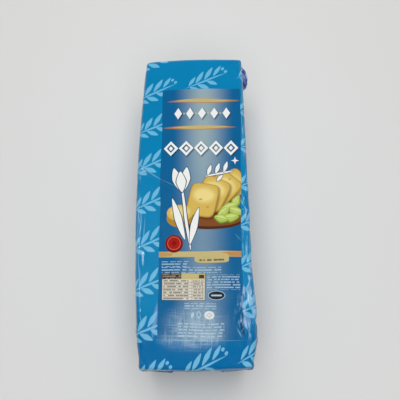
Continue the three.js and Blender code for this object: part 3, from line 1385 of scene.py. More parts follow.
# A small white sprig with a dark edge, and a star beside it.
WHITE_SPRIG = (
    *(PrintedShape(outline, centre, half, Ink.WHITE, turn=turn, rim=Ink.NAVY, rim_width=0.6)
      for outline, centre, half, turn in (
          (Outline.OVAL, (17, 24.5), (14, 0.9), 12),
          (Outline.LEAF, (8, 28), (1.9, 5.6), -18),
          (Outline.LEAF, (15.6, 29.6), (1.9, 5.6), -18),
          (Outline.LEAF, (23.2, 31.2), (1.9, 5.6), -18),
          (Outline.LEAF, (17.6, 20), (1.7, 4.4), -40),
      )),
    PrintedShape(Outline.LOZENGE, (32.4, 37.4), (1.2, 3.8), Ink.WHITE),
    PrintedShape(Outline.LOZENGE, (32.4, 37.4), (3.8, 1.2), Ink.WHITE),
)

# The gold band with its tab, and the red disc that overlaps it.
SEAL_AND_BAND = (
    PrintedShape(Outline.BLOCK, (0, -53.4), (40, 2.6), Ink.GOLD),
    PrintedShape(Outline.OVAL, (41, -53.4), (22, 2.5), Ink.ORANGE, blur=1.8, opacity=0.75),
    PrintedShape(Outline.OVAL, (-41, -53.4), (16, 2.5), Ink.ORANGE, blur=1.8, opacity=0.6),
    PrintedShape(Outline.CUSHION, (10.5, -57.0), (16, 4.4), Ink.GOLD),
    PrintedShape(Outline.OVAL, (-24.1, -43.6), (8.0, 8.2), Ink.RED_DEEP, blur=0.5),
    PrintedShape(Outline.OVAL, (-24.1, -43.0), (6.6, 6.7), Ink.RED, blur=1.2),
    PrintedShape(Outline.OVAL, (-24.1, -43.2), (5.8, 6.0), Ink.GOLD, stroke=0.35, opacity=0.5),
    PrintedShape(Outline.LOZENGE, (-24.1, -43.2), (2.6, 2.8), Ink.RED_DEEP, opacity=0.8),
)

# The dark oval badge and the small pale marks of the lower panel.
MARKS = (
    PrintedShape(Outline.OVAL, (15.1, -90), (7.4, 3.9), Ink.PALE_PRINT),
    PrintedShape(Outline.OVAL, (15.1, -90), (6.9, 3.4), Ink.DARK),
    PrintedShape(Outline.CUSHION, (15.1, -90), (4.6, 0.7), Ink.PALE_PRINT),
    PrintedShape(Outline.LEAF, (-6.6, -106.6), (1.4, 2.6), Ink.PALE_PRINT, turn=-20),
    PrintedShape(Outline.LEAF, (-0.9, -106.2), (2.1, 3.1), Ink.PALE_PRINT, stroke=0.7),
    PrintedShape(Outline.OVAL, (8.5, -106.4), (4.5, 3.4), Ink.WHITE, opacity=0.85),
    PrintedShape(Outline.LOZENGE, (8.5, -106.4), (2.6, 2.0), Ink.ORANGE, stroke=0.5,
                 opacity=0.7),
)


def slice_of_cheese(centre: tuple[float, float], half: tuple[float, float],
                    turn: float) -> list[PrintedShape]:
    """A soft-edged slice: its shadow, its face, a darker rind and a pale shine.

    Args:
        centre: Its middle, in mm.
        half: Its half width and half height.
        turn: How far it is turned, in degrees.

    Returns:
        The shapes.
    """
    x, y = centre
    lean = math.radians(turn)
    shine = (x - 0.30 * half[1] * math.sin(lean), y + 0.30 * half[1] * math.cos(lean))
    return [
        PrintedShape(Outline.CUSHION, (x + 0.5, y - 1.3), (half[0] + 0.9, half[1] + 0.7),
                     Ink.BOARD_DEEP, turn=turn, blur=3.2, opacity=0.6),
        PrintedShape(Outline.CUSHION, centre, half, Ink.CHEESE_DEEP, turn=turn, blur=0.4),
        PrintedShape(Outline.CUSHION, (x, y + 0.3), (half[0] - 0.8, half[1] - 0.8), Ink.CHEESE,
                     turn=turn, blur=1.6),
        PrintedShape(Outline.OVAL, shine, (half[0] * 0.72, half[1] * 0.42), Ink.CHEESE_PALE,
                     turn=turn, blur=7, opacity=0.85),
    ]


def still_life() -> list[PrintedShape]:
    """Draws slices of cheese fanned over a board, with a small wheel and green leaves.

    Returns:
        The shapes, from the lowest to the topmost.
    """
    shapes = [
        PrintedShape(Outline.OVAL, (9, -21.5), (31, 9.0), Ink.BOARD_DEEP, blur=1.2),
        PrintedShape(Outline.OVAL, (9, -19.6), (30.4, 8.2), Ink.BOARD, blur=1.0),
    ]
    fan = ((27, 12, -58), (20, 9, -40), (11, 4, -24), (2, -2, -10))
    for x, y, turn in fan:
        shapes += slice_of_cheese((x, y), (13.5, 16.5), turn)
    shapes += [
        PrintedShape(Outline.OVAL, (-19, -19.5), (12.6, 8.8), Ink.CHEESE_DEEP, blur=0.5),
        PrintedShape(Outline.OVAL, (-19, -14.5), (12.6, 8.0), Ink.CHEESE, blur=0.5),
        PrintedShape(Outline.OVAL, (-19, -13.6), (9.0, 5.0), Ink.CHEESE_PALE, blur=5,
                     opacity=0.8),
        PrintedShape(Outline.OVAL, (0, -1), (1.5, 0.9), Ink.CHEESE_DEEP, opacity=0.7),
        PrintedShape(Outline.OVAL, (7, -9), (1.1, 0.8), Ink.CHEESE_DEEP, opacity=0.7),
        PrintedShape(Outline.OVAL, (27, 19), (1.3, 0.9), Ink.CHEESE_DEEP, opacity=0.7),
    ]
    leaves = ((33, -4, 62, 7.5), (27, -9, 18, 9.5), (33, -13, -18, 8.5), (21.5, -14, 40, 7.5),
              (28, -19, 6, 8.5), (19.5, -20, -14, 7.0))
    for x, y, turn, length in leaves:
        shapes += [
            PrintedShape(Outline.LEAF, (x, y - 0.7), (length, 4.6), Ink.GREEN_DEEP, turn=turn,
                         blur=1.4),
            PrintedShape(Outline.LEAF, (x, y), (length - 0.5, 4.0), Ink.GREEN, turn=turn,
                         blur=0.7),
            PrintedShape(Outline.LEAF, (x, y + 0.8), (length * 0.72, 1.9), Ink.GREEN_PALE,
                         turn=turn, blur=2.4, opacity=0.8),
            PrintedShape(Outline.OVAL, (x, y), (length * 0.8, 0.28), Ink.GREEN_DEEP,
                         turn=turn, opacity=0.7),
        ]
    return shapes


def facts_table() -> list[PrintedShape]:
    """Draws a cream table with a gold head, a dark corner and grey rules.

    Returns:
        The shapes, from the lowest to the topmost.
    """
    left, right, top, bottom, head, rows = -34.4, 4.6, -70.7, -94.0, -76.0, 7
    middle, half = (left + right) / 2, (right - left) / 2
    shapes = [
        PrintedShape(Outline.BLOCK, (middle, (top + bottom) / 2), (half, (top - bottom) / 2),
                     Ink.CREAM, rim=Ink.NAVY, rim_width=0.4),
        PrintedShape(Outline.BLOCK, (middle, (top + head) / 2), (half, (top - head) / 2),
                     Ink.GOLD),
        PrintedShape(Outline.BLOCK, (left + 8.5, (top + head) / 2), (8.5, 2.6), Ink.UMBER),
        PrintedShape(Outline.BLOCK, (right - 3.2, (top + head) / 2), (2.4, 1.6), Ink.UMBER),
        PrintedShape(Outline.BLOCK, (right - 12, (head + bottom) / 2), (0.13, 9), Ink.RULE),
    ]
    for row in range(1, rows):
        y = head + (bottom - head) * row / rows
        shapes.append(PrintedShape(Outline.BLOCK, (middle, y), (half - 0.8, 0.17), Ink.RULE))
    return shapes


PRINTED_SHAPES = (
    *HEADER_ORNAMENT, *still_life(), *WHITE_SPRIG, *TULIP, *SEAL_AND_BAND, *facts_table(),
    *MARKS,
)

SMALL_PRINT = (
    SmallPrint((10.5, -58.9), (11.5, 1.0), Ink.UMBER, pitch=2.0, seed=1, weight=0.4, opacity=0.9),
    SmallPrint((-23.0, -62.4), (12.0, 2.6), Ink.PALE_PRINT, seed=2),
    SmallPrint((-8.0, -67.8), (27.0, 2.6), Ink.PALE_PRINT, seed=3),
    SmallPrint((-26.0, -73.4), (8.0, 2.2), Ink.CREAM, pitch=1.9, word=6, seed=4, opacity=0.45),
    SmallPrint((-22.0, -85.0), (11.4, 9.0), Ink.DARK, pitch=2.57, word=6, seed=5, weight=0.24,
               opacity=0.75),
    SmallPrint((-1.6, -85.0), (5.0, 9.0), Ink.DARK, pitch=2.57, word=2.4, seed=6, weight=0.24,
               opacity=0.7),
    SmallPrint((21.0, -78.6), (14.5, 6.6), Ink.PALE_PRINT, pitch=2.3, seed=7),
    SmallPrint((0.4, -99.0), (14.5, 2.4), Ink.PALE_PRINT, pitch=2.3, seed=8),
    SmallPrint((1.0, -118.6), (20.5, 5.8), Ink.PALE_PRINT, pitch=2.4, seed=9),
)


# Painted glints and painted crease shade on the film's folds, in mm on the laid-flat print.
PAINTED_STREAKS = (
    # The crumpled near right corner: painted glints, and painted shade in the crease across it.
    PaintedStreak((39, -82), (44.5, -92), 1.7),
    PaintedStreak((43, -86), (43.5, -100), 2.8),
    PaintedStreak((47, -101), (47, -109), 2.2),
    PaintedStreak((40.5, -105), (42, -118), 4, 0.4, Ink.GLINT_VIOLET),
    PaintedStreak((35.5, -112), (39.5, -125), 2.6, 0.75, Ink.CREASE_SHADE),
    PaintedStreak((38, -102), (37, -112), 1.6, 0.4, Ink.CREASE_SHADE),
    PaintedStreak((33, -118), (36.5, -124.5), 1.2),
    PaintedStreak((36, -106), (36.5, -113), 1.6, 0.35, Ink.GLINT_VIOLET),
    PaintedStreak((45, -62), (45.5, -70.5), 1.9, 0.55, Ink.GLINT_VIOLET),
    PaintedStreak((47, -89), (47.5, -99), 1.8, 0.4, Ink.GLINT_VIOLET),
    PaintedStreak((38.4, -82), (39.2, -92), 1.3, 0.5),
    PaintedStreak((42, -86), (42.8, -98), 1.8, 0.7, Ink.GLINT_PALE),
    PaintedStreak((45.2, -92), (46, -110), 1.8, 0.5, Ink.GLINT_VIOLET),
    PaintedStreak((38.8, -109), (40.6, -117), 2.2, 0.65, Ink.GLINT_PALE),
    PaintedStreak((42, -112), (43.6, -118), 1.4, 0.5),
    PaintedStreak((34.2, -110), (35, -117), 1, 0.3),
    # Painted glints on the pleats along the right edge, and painted shade in a crease.
    PaintedStreak((42, -43), (43, -60), 2, 0.45),
    PaintedStreak((39, -43), (39.5, -51), 1.3, 0.35),
    PaintedStreak((45, -27), (46, -57), 1, 0.35, Ink.GLINT_VIOLET),
    PaintedStreak((32, -34.5), (37.5, -41), 1, 0.22),
    PaintedStreak((42, -13.5), (42.5, -22), 1.7, 0.45, Ink.GLINT_VIOLET),
    PaintedStreak((37.5, -2), (40.5, -8), 1.3, 0.45),
    PaintedStreak((40.5, 0), (39, -7), 1.1, 0.4),
    PaintedStreak((36.5, 2), (37, -7), 1, 0.45, Ink.CREASE_SHADE),
    PaintedStreak((42.5, 28), (43, 19), 1.2, 0.4, Ink.GLINT_VIOLET),
    PaintedStreak((38.5, 21), (39.5, 17), 1.4),
    PaintedStreak((39.5, 73), (40, 64.5), 1),
    PaintedStreak((42, 116), (42.5, 98), 1.7, 0.55, Ink.GLINT_VIOLET),
    PaintedStreak((41.5, 98), (42.5, 68), 1, 0.4, Ink.GLINT_VIOLET),
    PaintedStreak((39.4, 112), (39.8, 98), 0.9, 0.5),
    PaintedStreak((39.6, 92), (40, 84), 0.8, 0.45, Ink.GLINT_VIOLET),
    PaintedStreak((39.8, 63), (40.2, 52), 0.9, 0.5),
    PaintedStreak((41, 49), (41.3, 41), 0.8, 0.5, Ink.GLINT_VIOLET),
    PaintedStreak((42.4, 4), (42, -6), 1, 0.5, Ink.CREASE_SHADE),
    # Painted glints on the long fold that runs in from the left edge and on pleats beside it, and
    # painted shade in a crease.
    PaintedStreak((-60, 38), (-51, 28.5), 1.2),
    PaintedStreak((-51, 28.5), (-36.5, 19), 1, 0.45),
    PaintedStreak((-36.5, 19), (-21.5, 11), 0.8, 0.25),
    PaintedStreak((-55.5, -9), (-56, -36), 1.8, 0.35),
    PaintedStreak((-52, -18.5), (-53, -46.5), 1.3, 0.3),
    PaintedStreak((-58.5, -4), (-58.5, -57), 1.6, 0.3, Ink.GLINT_VIOLET),
    PaintedStreak((-38.5, -98.5), (-42, -126), 3.6, 0.45, Ink.GLINT_VIOLET),
    PaintedStreak((-56, -95), (-56, -121), 1.2, 0.35, Ink.CREASE_SHADE),
    # A painted highlight line along the near edge of the panel.
    PaintedStreak((-41.5, -127), (38, -127), 0.7, 0.4),
)


# Painted reflections: a pale painted haze in a fine weave of threads low on the panel, and
# pale painted glint streaks along the loaf where the film is slack.
HAZE_WEAVE = ((0.72, 0.06, 1), (0.07, 0.62, 1))
GLINT_STREAKS = ((0.40, 0.085, 1), (0.30, -0.12, 1))
SHEEN_PATCHES = (
    PaintedSheenPatch((-4, -114), (24, 12), 20, 0.5, Ink.HAZE_SHEEN, HAZE_WEAVE, (0.46, 0.68), 0.3),
    PaintedSheenPatch((-8, -126), (26, 6), 11, 0.5, Ink.HAZE_SHEEN, HAZE_WEAVE, (0.46, 0.68), 0.3),
    PaintedSheenPatch((42.5, -98), (7.0, 27), 6, 0.62, Ink.GLINT_PALE, GLINT_STREAKS, (0.56, 0.72),
              0, detail=3, distortion=0.7),
    PaintedSheenPatch((42.5, -20), (3.5, 58), 4, 0.4, Ink.GLINT_PALE, GLINT_STREAKS, (0.58, 0.74),
              0, detail=3, distortion=0.7),
    PaintedSheenPatch((41.5, 84), (2.4, 44), 4, 0.4, Ink.GLINT_VIOLET, GLINT_STREAKS, (0.58, 0.74),
              0, detail=3, distortion=0.7),
)


@dataclass(frozen=True)
class PrintedShrinkFilm:
    """Polyethylene shrink film, printed on its inner face and shrunk on with hot water.

    The ink lies under a clear skin, so colours are full and even while the skin above
    them is glossy, and every small ripple of the film breaks up the light on it. Painted
    shade darkens the ground towards the near end, and painted sheen, haze, glints and
    crease shade are laid over the print.
    """

    name: str = "printed_shrink_film"
    panel_half: tuple[float, float] = (37.8, 120.8)
    panel_centre: tuple[float, float] = (0.0, -6.2)
    glow_and_sheen_centre: float = 2.0
    glow_and_sheen_half: float = 30.0
    # The glow's least and greatest share, and where along the panel it rises; the glow is partly
    # print and partly painted sheen.
    glow_and_sheen_shares: tuple[float, float] = (0.5, 0.95)
    glow_and_sheen_rise: tuple[float, float] = (-45.0, 75.0)
    tone_scale: float = 0.03
    sprig_opacity: float = 0.82
    roughness: tuple[float, float] = (0.08, 0.15)
    gloss_scale: float = 0.09
    ior: float = 1.5
    # Heights of the fine relief, in mm, and the mm that one swing of it takes.
    ripple: tuple[float, float] = (0.10, 9.0)
    fine: tuple[float, float] = (0.035, 2.6)
    # Mould cloth leaves a net in the rind. Its threads, 0.7 mm apart, are drawn at 1.6 mm
    # so that they show. It is deep in one patch, and faint in the rest of the film.
    net_pitch: float = 1.6
    net_depth: float = 0.05
    net_least: float = 0.12
    net_patch: PrintedShape = PrintedShape(
        Outline.OVAL, (-4, -122), (38, 19), Ink.PALE_PRINT, blur=14
    )
    # How far the shrinking has pulled the print about, in mm, and how closely.
    print_wander: float = 2.8
    wander_scale: float = 0.022
    # Painted shade: the ground is painted a darker cyan towards the near end, from here over this
    # run.
    near_shade_from: float = -96
    near_shade_run: float = 40

    def build(self) -> bpy.types.Material:
        """Builds the material.

        Returns:
            The film's material.
        """
        material = bpy.data.materials.new(self.name)
        material.use_nodes = True
        tree = material.node_tree
        tree.nodes.clear()
        place = self.place(tree)
        flat = add_node(tree, "ShaderNodeSeparateXYZ", {}, {0: place})
        press = Press(tree, Stencil(), flat.outputs[0], flat.outputs[1])
        gloss = add_node(
            tree, "ShaderNodeTexNoise", {},
            {"Vector": place, "Scale": self.gloss_scale, "Detail": 3.0},
        )
        roughness = add_node(
            tree, "ShaderNodeMapRange", {},
            {"Value": gloss.outputs["Fac"], "From Min": 0.3, "From Max": 0.7,
             "To Min": self.roughness[0], "To Max": self.roughness[1]},
        )
        shader = add_node(
            tree, "ShaderNodeBsdfPrincipled", {},
            {"Base Color": self.inked(press, place), "Roughness": roughness.outputs[0],
             "IOR": self.ior, "Normal": self.relief(press, place)},
        )
        add_node(tree, "ShaderNodeOutputMaterial", {}, {"Surface": shader.outputs[0]})
        return material

    def place(self, tree: bpy.types.NodeTree) -> bpy.types.NodeSocket:
        """Where each spot lies on the flat print, in mm, pulled a little by shrinking.

        Args:
            tree: The material's nodes.

        Returns:
            The place.
        """
        laid = add_node(tree, "ShaderNodeUVMap", {"uv_map": PRINT_MAP})
        millimetres = add_node(
            tree, "ShaderNodeVectorMath", {"operation": "SCALE"},
            {0: laid.outputs[0], "Scale": 1 / MM},
        )
        pull = add_node(
            tree, "ShaderNodeTexNoise", {},
            {"Vector": millimetres.outputs[0], "Scale": self.wander_scale, "Detail": 1.0},
        )
        centred = add_node(
            tree, "ShaderNodeVectorMath", {"operation": "SUBTRACT"},
            {0: pull.outputs["Color"], 1: (0.5, 0.5, 0.5)},
        )
        shift = add_node(
            tree, "ShaderNodeVectorMath", {"operation": "SCALE"},
            {0: centred.outputs[0], "Scale": self.print_wander},
        )
        pulled = add_node(
            tree, "ShaderNodeVectorMath", {"operation": "ADD"},
            {0: millimetres.outputs[0], 1: shift.outputs[0]},
        )
        return add_node(
            tree, "ShaderNodeVectorMath", {"operation": "MULTIPLY"},
            {0: pulled.outputs[0], 1: (1, 1, 0)},
        ).outputs[0]

    def inked(self, press: Press, place: bpy.types.NodeSocket) -> bpy.types.NodeSocket:
        """The colour of the print, with painted shade, sheen, haze, glints and crease shade laid
        on it.

        Args:
            press: What prints on the film.
            place: The place on the flat print, in mm.

        Returns:
            The colour.
        """
        tone = add_node(
            press.tree, "ShaderNodeTexNoise", {},
            {"Vector": place, "Scale": self.tone_scale, "Detail": 4.0},
        )
        # Painted shade: how far the ground is darkened towards the near end.
        shrunk = add_node(
            press.tree, "ShaderNodeMapRange", {"interpolation_type": "SMOOTHSTEP"},
            {"Value": press.v, "From Min": self.near_shade_from,
             "From Max": self.near_shade_from - self.near_shade_run},
        )
        ground = press.over(linear(Ink.CYAN.value), Ink.CYAN_DEEP, tone.outputs["Fac"])
        ground = press.over(ground, Ink.CYAN_NEAR_SHADE, shrunk.outputs[0])
        sprigs = SprigGround().cover(press)
        ground = press.over(ground, Ink.SPRIG, sprigs, self.sprig_opacity)
        colour = self.panel_print_and_sheen(press)
        for shape in PRINTED_SHAPES:
            colour = press.shape(shape, colour)
        for block in SMALL_PRINT:
            colour = press.bars(block, colour)
        panel = PrintedShape(Outline.BLOCK, self.panel_centre, self.panel_half, Ink.PANEL)
        whole = add_node(
            press.tree, "ShaderNodeMix", {"data_type": "RGBA"},
            {0: press.cover(panel), 6: ground, 7: colour},
        ).outputs[2]
        # Painted reflections: the pale haze and the glint streaks.
        for patch in SHEEN_PATCHES:
            whole = press.painted_sheen(place, patch, whole)
        # Painted glints on folds and painted shade in creases.
        for painted_streak in PAINTED_STREAKS:
            whole = press.shape(painted_streak.shape(), whole)
        return whole

    def panel_print_and_sheen(self, press: Press) -> bpy.types.NodeSocket:
        """The panel's colour: a glow along its middle, most at its far end, partly print and
        partly painted sheen.

        Args:
            press: What prints on the film.

        Returns:
            The colour.
        """
        off = add_node(
            press.tree, "ShaderNodeMath", {"operation": "SUBTRACT"},
            {0: press.u, 1: self.glow_and_sheen_centre},
        )
        gap = add_node(
            press.tree, "ShaderNodeMath", {"operation": "ABSOLUTE"}, {0: off.outputs[0]}
        )
        glow = add_node(
            press.tree, "ShaderNodeMapRange", {"interpolation_type": "SMOOTHSTEP"},
            {"Value": gap.outputs[0], "From Min": self.glow_and_sheen_half, "From Max": 0.0},
        )
        fall = add_node(
            press.tree, "ShaderNodeMapRange", {"interpolation_type": "SMOOTHSTEP"},
            {"Value": press.v, "From Min": self.glow_and_sheen_rise[0], "From Max": self.glow_and_sheen_rise[1],
             "To Min": self.glow_and_sheen_shares[0], "To Max": self.glow_and_sheen_shares[1]},
        )
        return press.over(
            linear(Ink.PANEL.value), Ink.PANEL_GLOW_AND_SHEEN, glow.outputs[0], fall.outputs[0]
        )

    def relief(self, press: Press, place: bpy.types.NodeSocket) -> bpy.types.NodeSocket:
        """The film's fine ripples and the net of the mould cloth under it.

        Args:
            press: What prints on the film.
            place: The place on the flat print, in mm.

        Returns:
            The bumped normal.
        """
        tree = press.tree
        heights = []
        for depth, pitch in (self.ripple, self.fine):
            swell = add_node(
                tree, "ShaderNodeTexNoise", {},
                {"Vector": place, "Scale": 1 / pitch, "Detail": 2.0, "Distortion": 0.6},
            )
            heights.append(
                add_node(
                    tree, "ShaderNodeMath", {"operation": "MULTIPLY"},
                    {0: swell.outputs["Fac"], 1: depth},
                ).outputs[0]
            )
        threads = add_node(
            tree, "ShaderNodeVectorMath", {"operation": "SCALE"},
            {0: place, "Scale": math.pi / self.net_pitch},
        )
        crossing = add_node(
            tree, "ShaderNodeVectorMath", {"operation": "SINE"}, {0: threads.outputs[0]}
        )
        lifted = add_node(
            tree, "ShaderNodeVectorMath", {"operation": "ABSOLUTE"}, {0: crossing.outputs[0]}
        )
        both = add_node(tree, "ShaderNodeSeparateXYZ", {}, {0: lifted.outputs[0]})
        net = add_node(
            tree, "ShaderNodeMath", {"operation": "MULTIPLY"},
            {0: both.outputs[0], 1: both.outputs[1]},
        )
        patch = add_node(
            tree, "ShaderNodeMapRange", {},
            {"Value": press.cover(self.net_patch), "To Min": self.net_least, "To Max": 1.0},
        )
        deep = add_node(
            tree, "ShaderNodeMath", {"operation": "MULTIPLY"},
            {0: net.outputs[0], 1: patch.outputs[0]},
        )
        heights.append(
            add_node(
                tree, "ShaderNodeMath", {"operation": "MULTIPLY"},
                {0: deep.outputs[0], 1: self.net_depth},
            ).outputs[0]
        )
        total = heights[0]
        for height in heights[1:]:
            total = add_node(
                tree, "ShaderNodeMath", {"operation": "ADD"}, {0: total, 1: height}
            ).outputs[0]
        return add_node(
            tree, "ShaderNodeBump", {}, {"Height": total, "Distance": MM, "Strength": 1.0}
        ).outputs[0]


@dataclass(frozen=True)
class FoldedShrinkFilm:
    """The same film where it shrank into several layers.

    The inks show through each other there, and painted shade darkens the film, so the blue
    is deep and violet, with paler streaks mixed in by noise.
    """

    name: str = "folded_shrink_film"
    # The deep tone is partly painted shade.
    deep: str = "#27407C"
    middle: str = "#4A64A8"
    pale: str = "#9DB0DC"
    # Where the three tones lie on the noise that mixes them.
    levels: tuple[float, float, float] = (0.40, 0.53, 0.66)
    layer_scale: float = 260.0
    crinkle_scale: float = 520.0
    crinkle_depth: float = 0.25
    roughness: float = 0.3
    ior: float = 1.5

    def build(self) -> bpy.types.Material:
        """Builds the material.

        Returns:
            The folded film's material.
        """
        material = bpy.data.materials.new(self.name)
        material.use_nodes = True
        tree = material.node_tree
        tree.nodes.clear()
        place = add_node(tree, "ShaderNodeTexCoord").outputs["Object"]
        drawn = add_node(
            tree, "ShaderNodeMapping", {}, {"Vector": place, "Scale": (1.0, 0.45, 0.5)}
        ).outputs[0]
        layers = add_node(
            tree, "ShaderNodeTexNoise", {},
            {"Vector": drawn, "Scale": self.layer_scale, "Detail": 3.0, "Distortion": 1.2},
        )
        tones = add_node(tree, "ShaderNodeValToRGB", {}, {0: layers.outputs["Fac"]})
        low, level, high = self.levels
        first, last = tones.color_ramp.elements
        first.position, first.color = low, linear(self.deep)
        last.position, last.color = high, linear(self.pale)
        tones.color_ramp.elements.new(level).color = linear(self.middle)
        crinkle = add_node(
            tree, "ShaderNodeTexNoise", {},
            {"Vector": drawn, "Scale": self.crinkle_scale, "Detail": 2.0},
        )
        relief = add_node(
            tree, "ShaderNodeBump", {},
            {"Height": crinkle.outputs["Fac"], "Distance": self.crinkle_depth * MM,
             "Strength": 1.0},
        )
        shader = add_node(
            tree, "ShaderNodeBsdfPrincipled", {},
            {"Base Color": tones.outputs[0], "Roughness": self.roughness, "IOR": self.ior,
             "Normal": relief.outputs[0]},
        )
        add_node(tree, "ShaderNodeOutputMaterial", {}, {"Surface": shader.outputs[0]})
        return material


# ------------------------------------------------------------------------------- stage


@dataclass(frozen=True)
class Lamp:
    """A soft rectangular lamp: its place and size in metres, and its power in watts."""

    name: str
    at: tuple[float, float, float]
    size: tuple[float, float]
    watts: float
    # Whether it lights surfaces, and whether it shows as a reflection.
    lights: bool = True
    reflected: bool = True


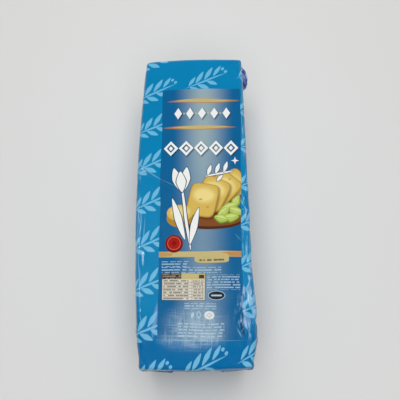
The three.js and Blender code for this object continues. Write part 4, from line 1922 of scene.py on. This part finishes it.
@dataclass(frozen=True)
class Studio:
    """A pale sweep under soft lamps, and the camera that looks down on the loaf."""

    form: LoafForm
    # The photograph's frame is 400 px wide, and its focal length on it is 555 px.
    focal_px: float = 555
    frame_px: float = 400
    sensor: float = 36
    elevation: float = 71.3
    yaw: float = -0.66
    camera_rise: float = 491
    camera_x: float = 3.1
    camera_before_end: float = 15.8
    floor_half: float = 3.0
    floor_tones: tuple[str, str] = ("#DEDEDC", "#D8D8D8")
    floor_roughness: float = 0.8
    floor_gloss: float = 0.2
    # The room is pale at the height of the loaf and dark above, and dimmer towards the
    # camera: its tones with their heights, its strength and the share of it that is left.
    room_tones: tuple[str, str] = ("#F2F3F4", "#3A3B3D")
    room_heights: tuple[float, float] = (0.10, 0.60)
    room_strength: float = 0.55
    room_share: float = 0.12
    room_near: float = -0.7
    room_far: float = 0.3
    # The lamps face this height over the middle of the loaf.
    aim: float = 0.05
    lamps: tuple[Lamp, ...] = (
        Lamp("overhead_softbox", (0.0, 0.1, 1.7), (1.2, 1.0), 17.8, reflected=False),
        Lamp("near_softbox", (0.0, -0.85, 1.45), (1.2, 0.9), 9.4, reflected=False),
        Lamp("far_softbox", (0.0, 1.5, 0.9), (1.6, 0.7), 9),
        Lamp("left_strip", (-0.55, 0.22, 1.1), (0.18, 0.5), 2.0, lights=False),
        Lamp("right_strip", (0.55, 0.17, 1.1), (0.20, 0.4), 0.95, lights=False),
        Lamp("right_far_strip", (0.5, 0.62, 1.1), (0.12, 0.16), 0.7, lights=False),
        Lamp("sheen_strip", (-0.03, 0.01, 1.3), (0.18, 0.05), 0.06, lights=False),
    )

    def camera(self) -> bpy.types.Object:
        """Places the camera.

        Returns:
            The camera, which is also the scene's.
        """
        data = bpy.data.cameras.new("camera")
        data.sensor_width = self.sensor
        data.lens = self.focal_px / self.frame_px * self.sensor
        data.clip_start = 0.05
        camera = bpy.data.objects.new("camera", data)
        camera.location = Vector(
            (self.camera_x, -(self.form.length / 2 + self.camera_before_end),
             self.form.height + self.camera_rise)
        ) * MM
        camera.rotation_euler = (
            math.radians(90 - self.elevation), 0, math.radians(self.yaw)
        )
        bpy.context.scene.collection.objects.link(camera)
        bpy.context.scene.camera = camera
        return camera

    def floor(self) -> bpy.types.Object:
        """Lays the pale floor.

        Returns:
            The floor.
        """
        half = self.floor_half
        mesh = bpy.data.meshes.new("floor")
        corners = [(-half, -half, 0), (half, -half, 0), (half, half, 0), (-half, half, 0)]
        mesh.from_pydata(corners, [], [(0, 1, 2, 3)])
        floor = bpy.data.objects.new("floor", mesh)
        material = bpy.data.materials.new("painted_board")
        material.use_nodes = True
        tree = material.node_tree
        shader = tree.nodes["Principled BSDF"]
        grain = add_node(tree, "ShaderNodeTexNoise", {}, {"Scale": 3.0, "Detail": 2.0})
        pale, grey = self.floor_tones
        tone = add_node(
            tree, "ShaderNodeMix", {"data_type": "RGBA"},
            {0: grain.outputs["Fac"], 6: linear(pale), 7: linear(grey)},
        )
        tree.links.new(tone.outputs[2], shader.inputs["Base Color"])
        shader.inputs["Roughness"].default_value = self.floor_roughness
        shader.inputs["Specular IOR Level"].default_value = self.floor_gloss
        mesh.materials.append(material)
        bpy.context.scene.collection.objects.link(floor)
        return floor

    def hang(self, lamp: Lamp) -> bpy.types.Object:
        """Hangs one lamp, turned to the loaf.

        Args:
            lamp: The lamp.

        Returns:
            Its object.
        """
        data = bpy.data.lights.new(lamp.name, "AREA")
        data.shape = "RECTANGLE"
        data.size, data.size_y = lamp.size
        data.energy = lamp.watts
        hung = bpy.data.objects.new(lamp.name, data)
        hung.location = lamp.at
        way = Vector((0, 0, self.aim)) - Vector(lamp.at)
        hung.rotation_euler = way.to_track_quat("-Z", "Y").to_euler()
        hung.visible_camera = False
        hung.visible_diffuse = lamp.lights
        hung.visible_glossy = lamp.reflected
        bpy.context.scene.collection.objects.link(hung)
        return hung

    def light(self) -> None:
        """Sets the soft light of the room and hangs the lamps."""
        world = bpy.data.worlds.new("studio")
        bpy.context.scene.world = world
        world.use_nodes = True
        tree = world.node_tree
        tree.nodes.clear()
        place = add_node(tree, "ShaderNodeTexCoord").outputs["Generated"]
        way = add_node(tree, "ShaderNodeSeparateXYZ", {}, {0: place})
        tone = add_node(tree, "ShaderNodeValToRGB", {}, {0: way.outputs[2]})
        for stop, height, shade in zip(
            tone.color_ramp.elements, self.room_heights, self.room_tones
        ):
            stop.position, stop.color = height, linear(shade)
        lit = add_node(
            tree, "ShaderNodeMapRange", {"interpolation_type": "SMOOTHSTEP"},
            {"Value": way.outputs[1], "From Min": self.room_near, "From Max": self.room_far,
             "To Min": self.room_share * self.room_strength, "To Max": self.room_strength},
        )
        background = add_node(
            tree, "ShaderNodeBackground", {},
            {"Color": tone.outputs[0], "Strength": lit.outputs[0]},
        )
        add_node(tree, "ShaderNodeOutputWorld", {}, {"Surface": background.outputs[0]})
        for lamp in self.lamps:
            self.hang(lamp)


def corner_ears(form: LoafForm) -> list[CornerEar]:
    """Lists the four ears of the bag.

    Args:
        form: The loaf that they are pressed against.

    Returns:
        The ears.
    """
    return [
        CornerEar(form, "ear_far_right", 1, y=137.5, z=78, length=30, reach=7, droop=2.5,
                  seed=41),
        CornerEar(form, "ear_far_left", -1, y=136, z=58, length=28, reach=3, droop=3, seed=44,
                  pleat_size=0.6, crumple_size=0.6),
        CornerEar(form, "ear_near_right", 1, y=-130, z=70, length=30, reach=3, droop=2, seed=47,
                  pleat_size=0.5, crumple_size=0.5),
        CornerEar(form, "ear_near_left", -1, y=-122, z=64, length=32, reach=2, droop=2.5,
                  seed=50, pleat_size=0.5, crumple_size=0.5),
    ]


def dress(piece: bpy.types.Object, *materials: bpy.types.Material) -> None:
    """Gives a piece its materials and logs it.

    Args:
        piece: The piece.
        materials: Its materials, in slot order.
    """
    for material in materials:
        piece.data.materials.append(material)
    LOG.info("%s: %d faces", piece.name, len(piece.data.polygons))


def main() -> None:
    """Builds the loaf's pieces in order, then the studio round them."""
    logging.basicConfig(level=logging.INFO, format="%(name)s %(message)s")
    form = LoafForm()
    film = PrintedShrinkFilm().build()
    folded = FoldedShrinkFilm().build()
    dress(WrappedLoaf(form).build(), film)
    for end in (-1, 1):
        dress(EndSeal(form, end).build(), film)
    for ear in corner_ears(form):
        dress(ear.build(), folded)

    studio = Studio(form)
    studio.floor()
    studio.light()
    studio.camera()
    bpy.context.scene.view_settings.view_transform = "Standard"


if __name__ == "__main__":
    main()
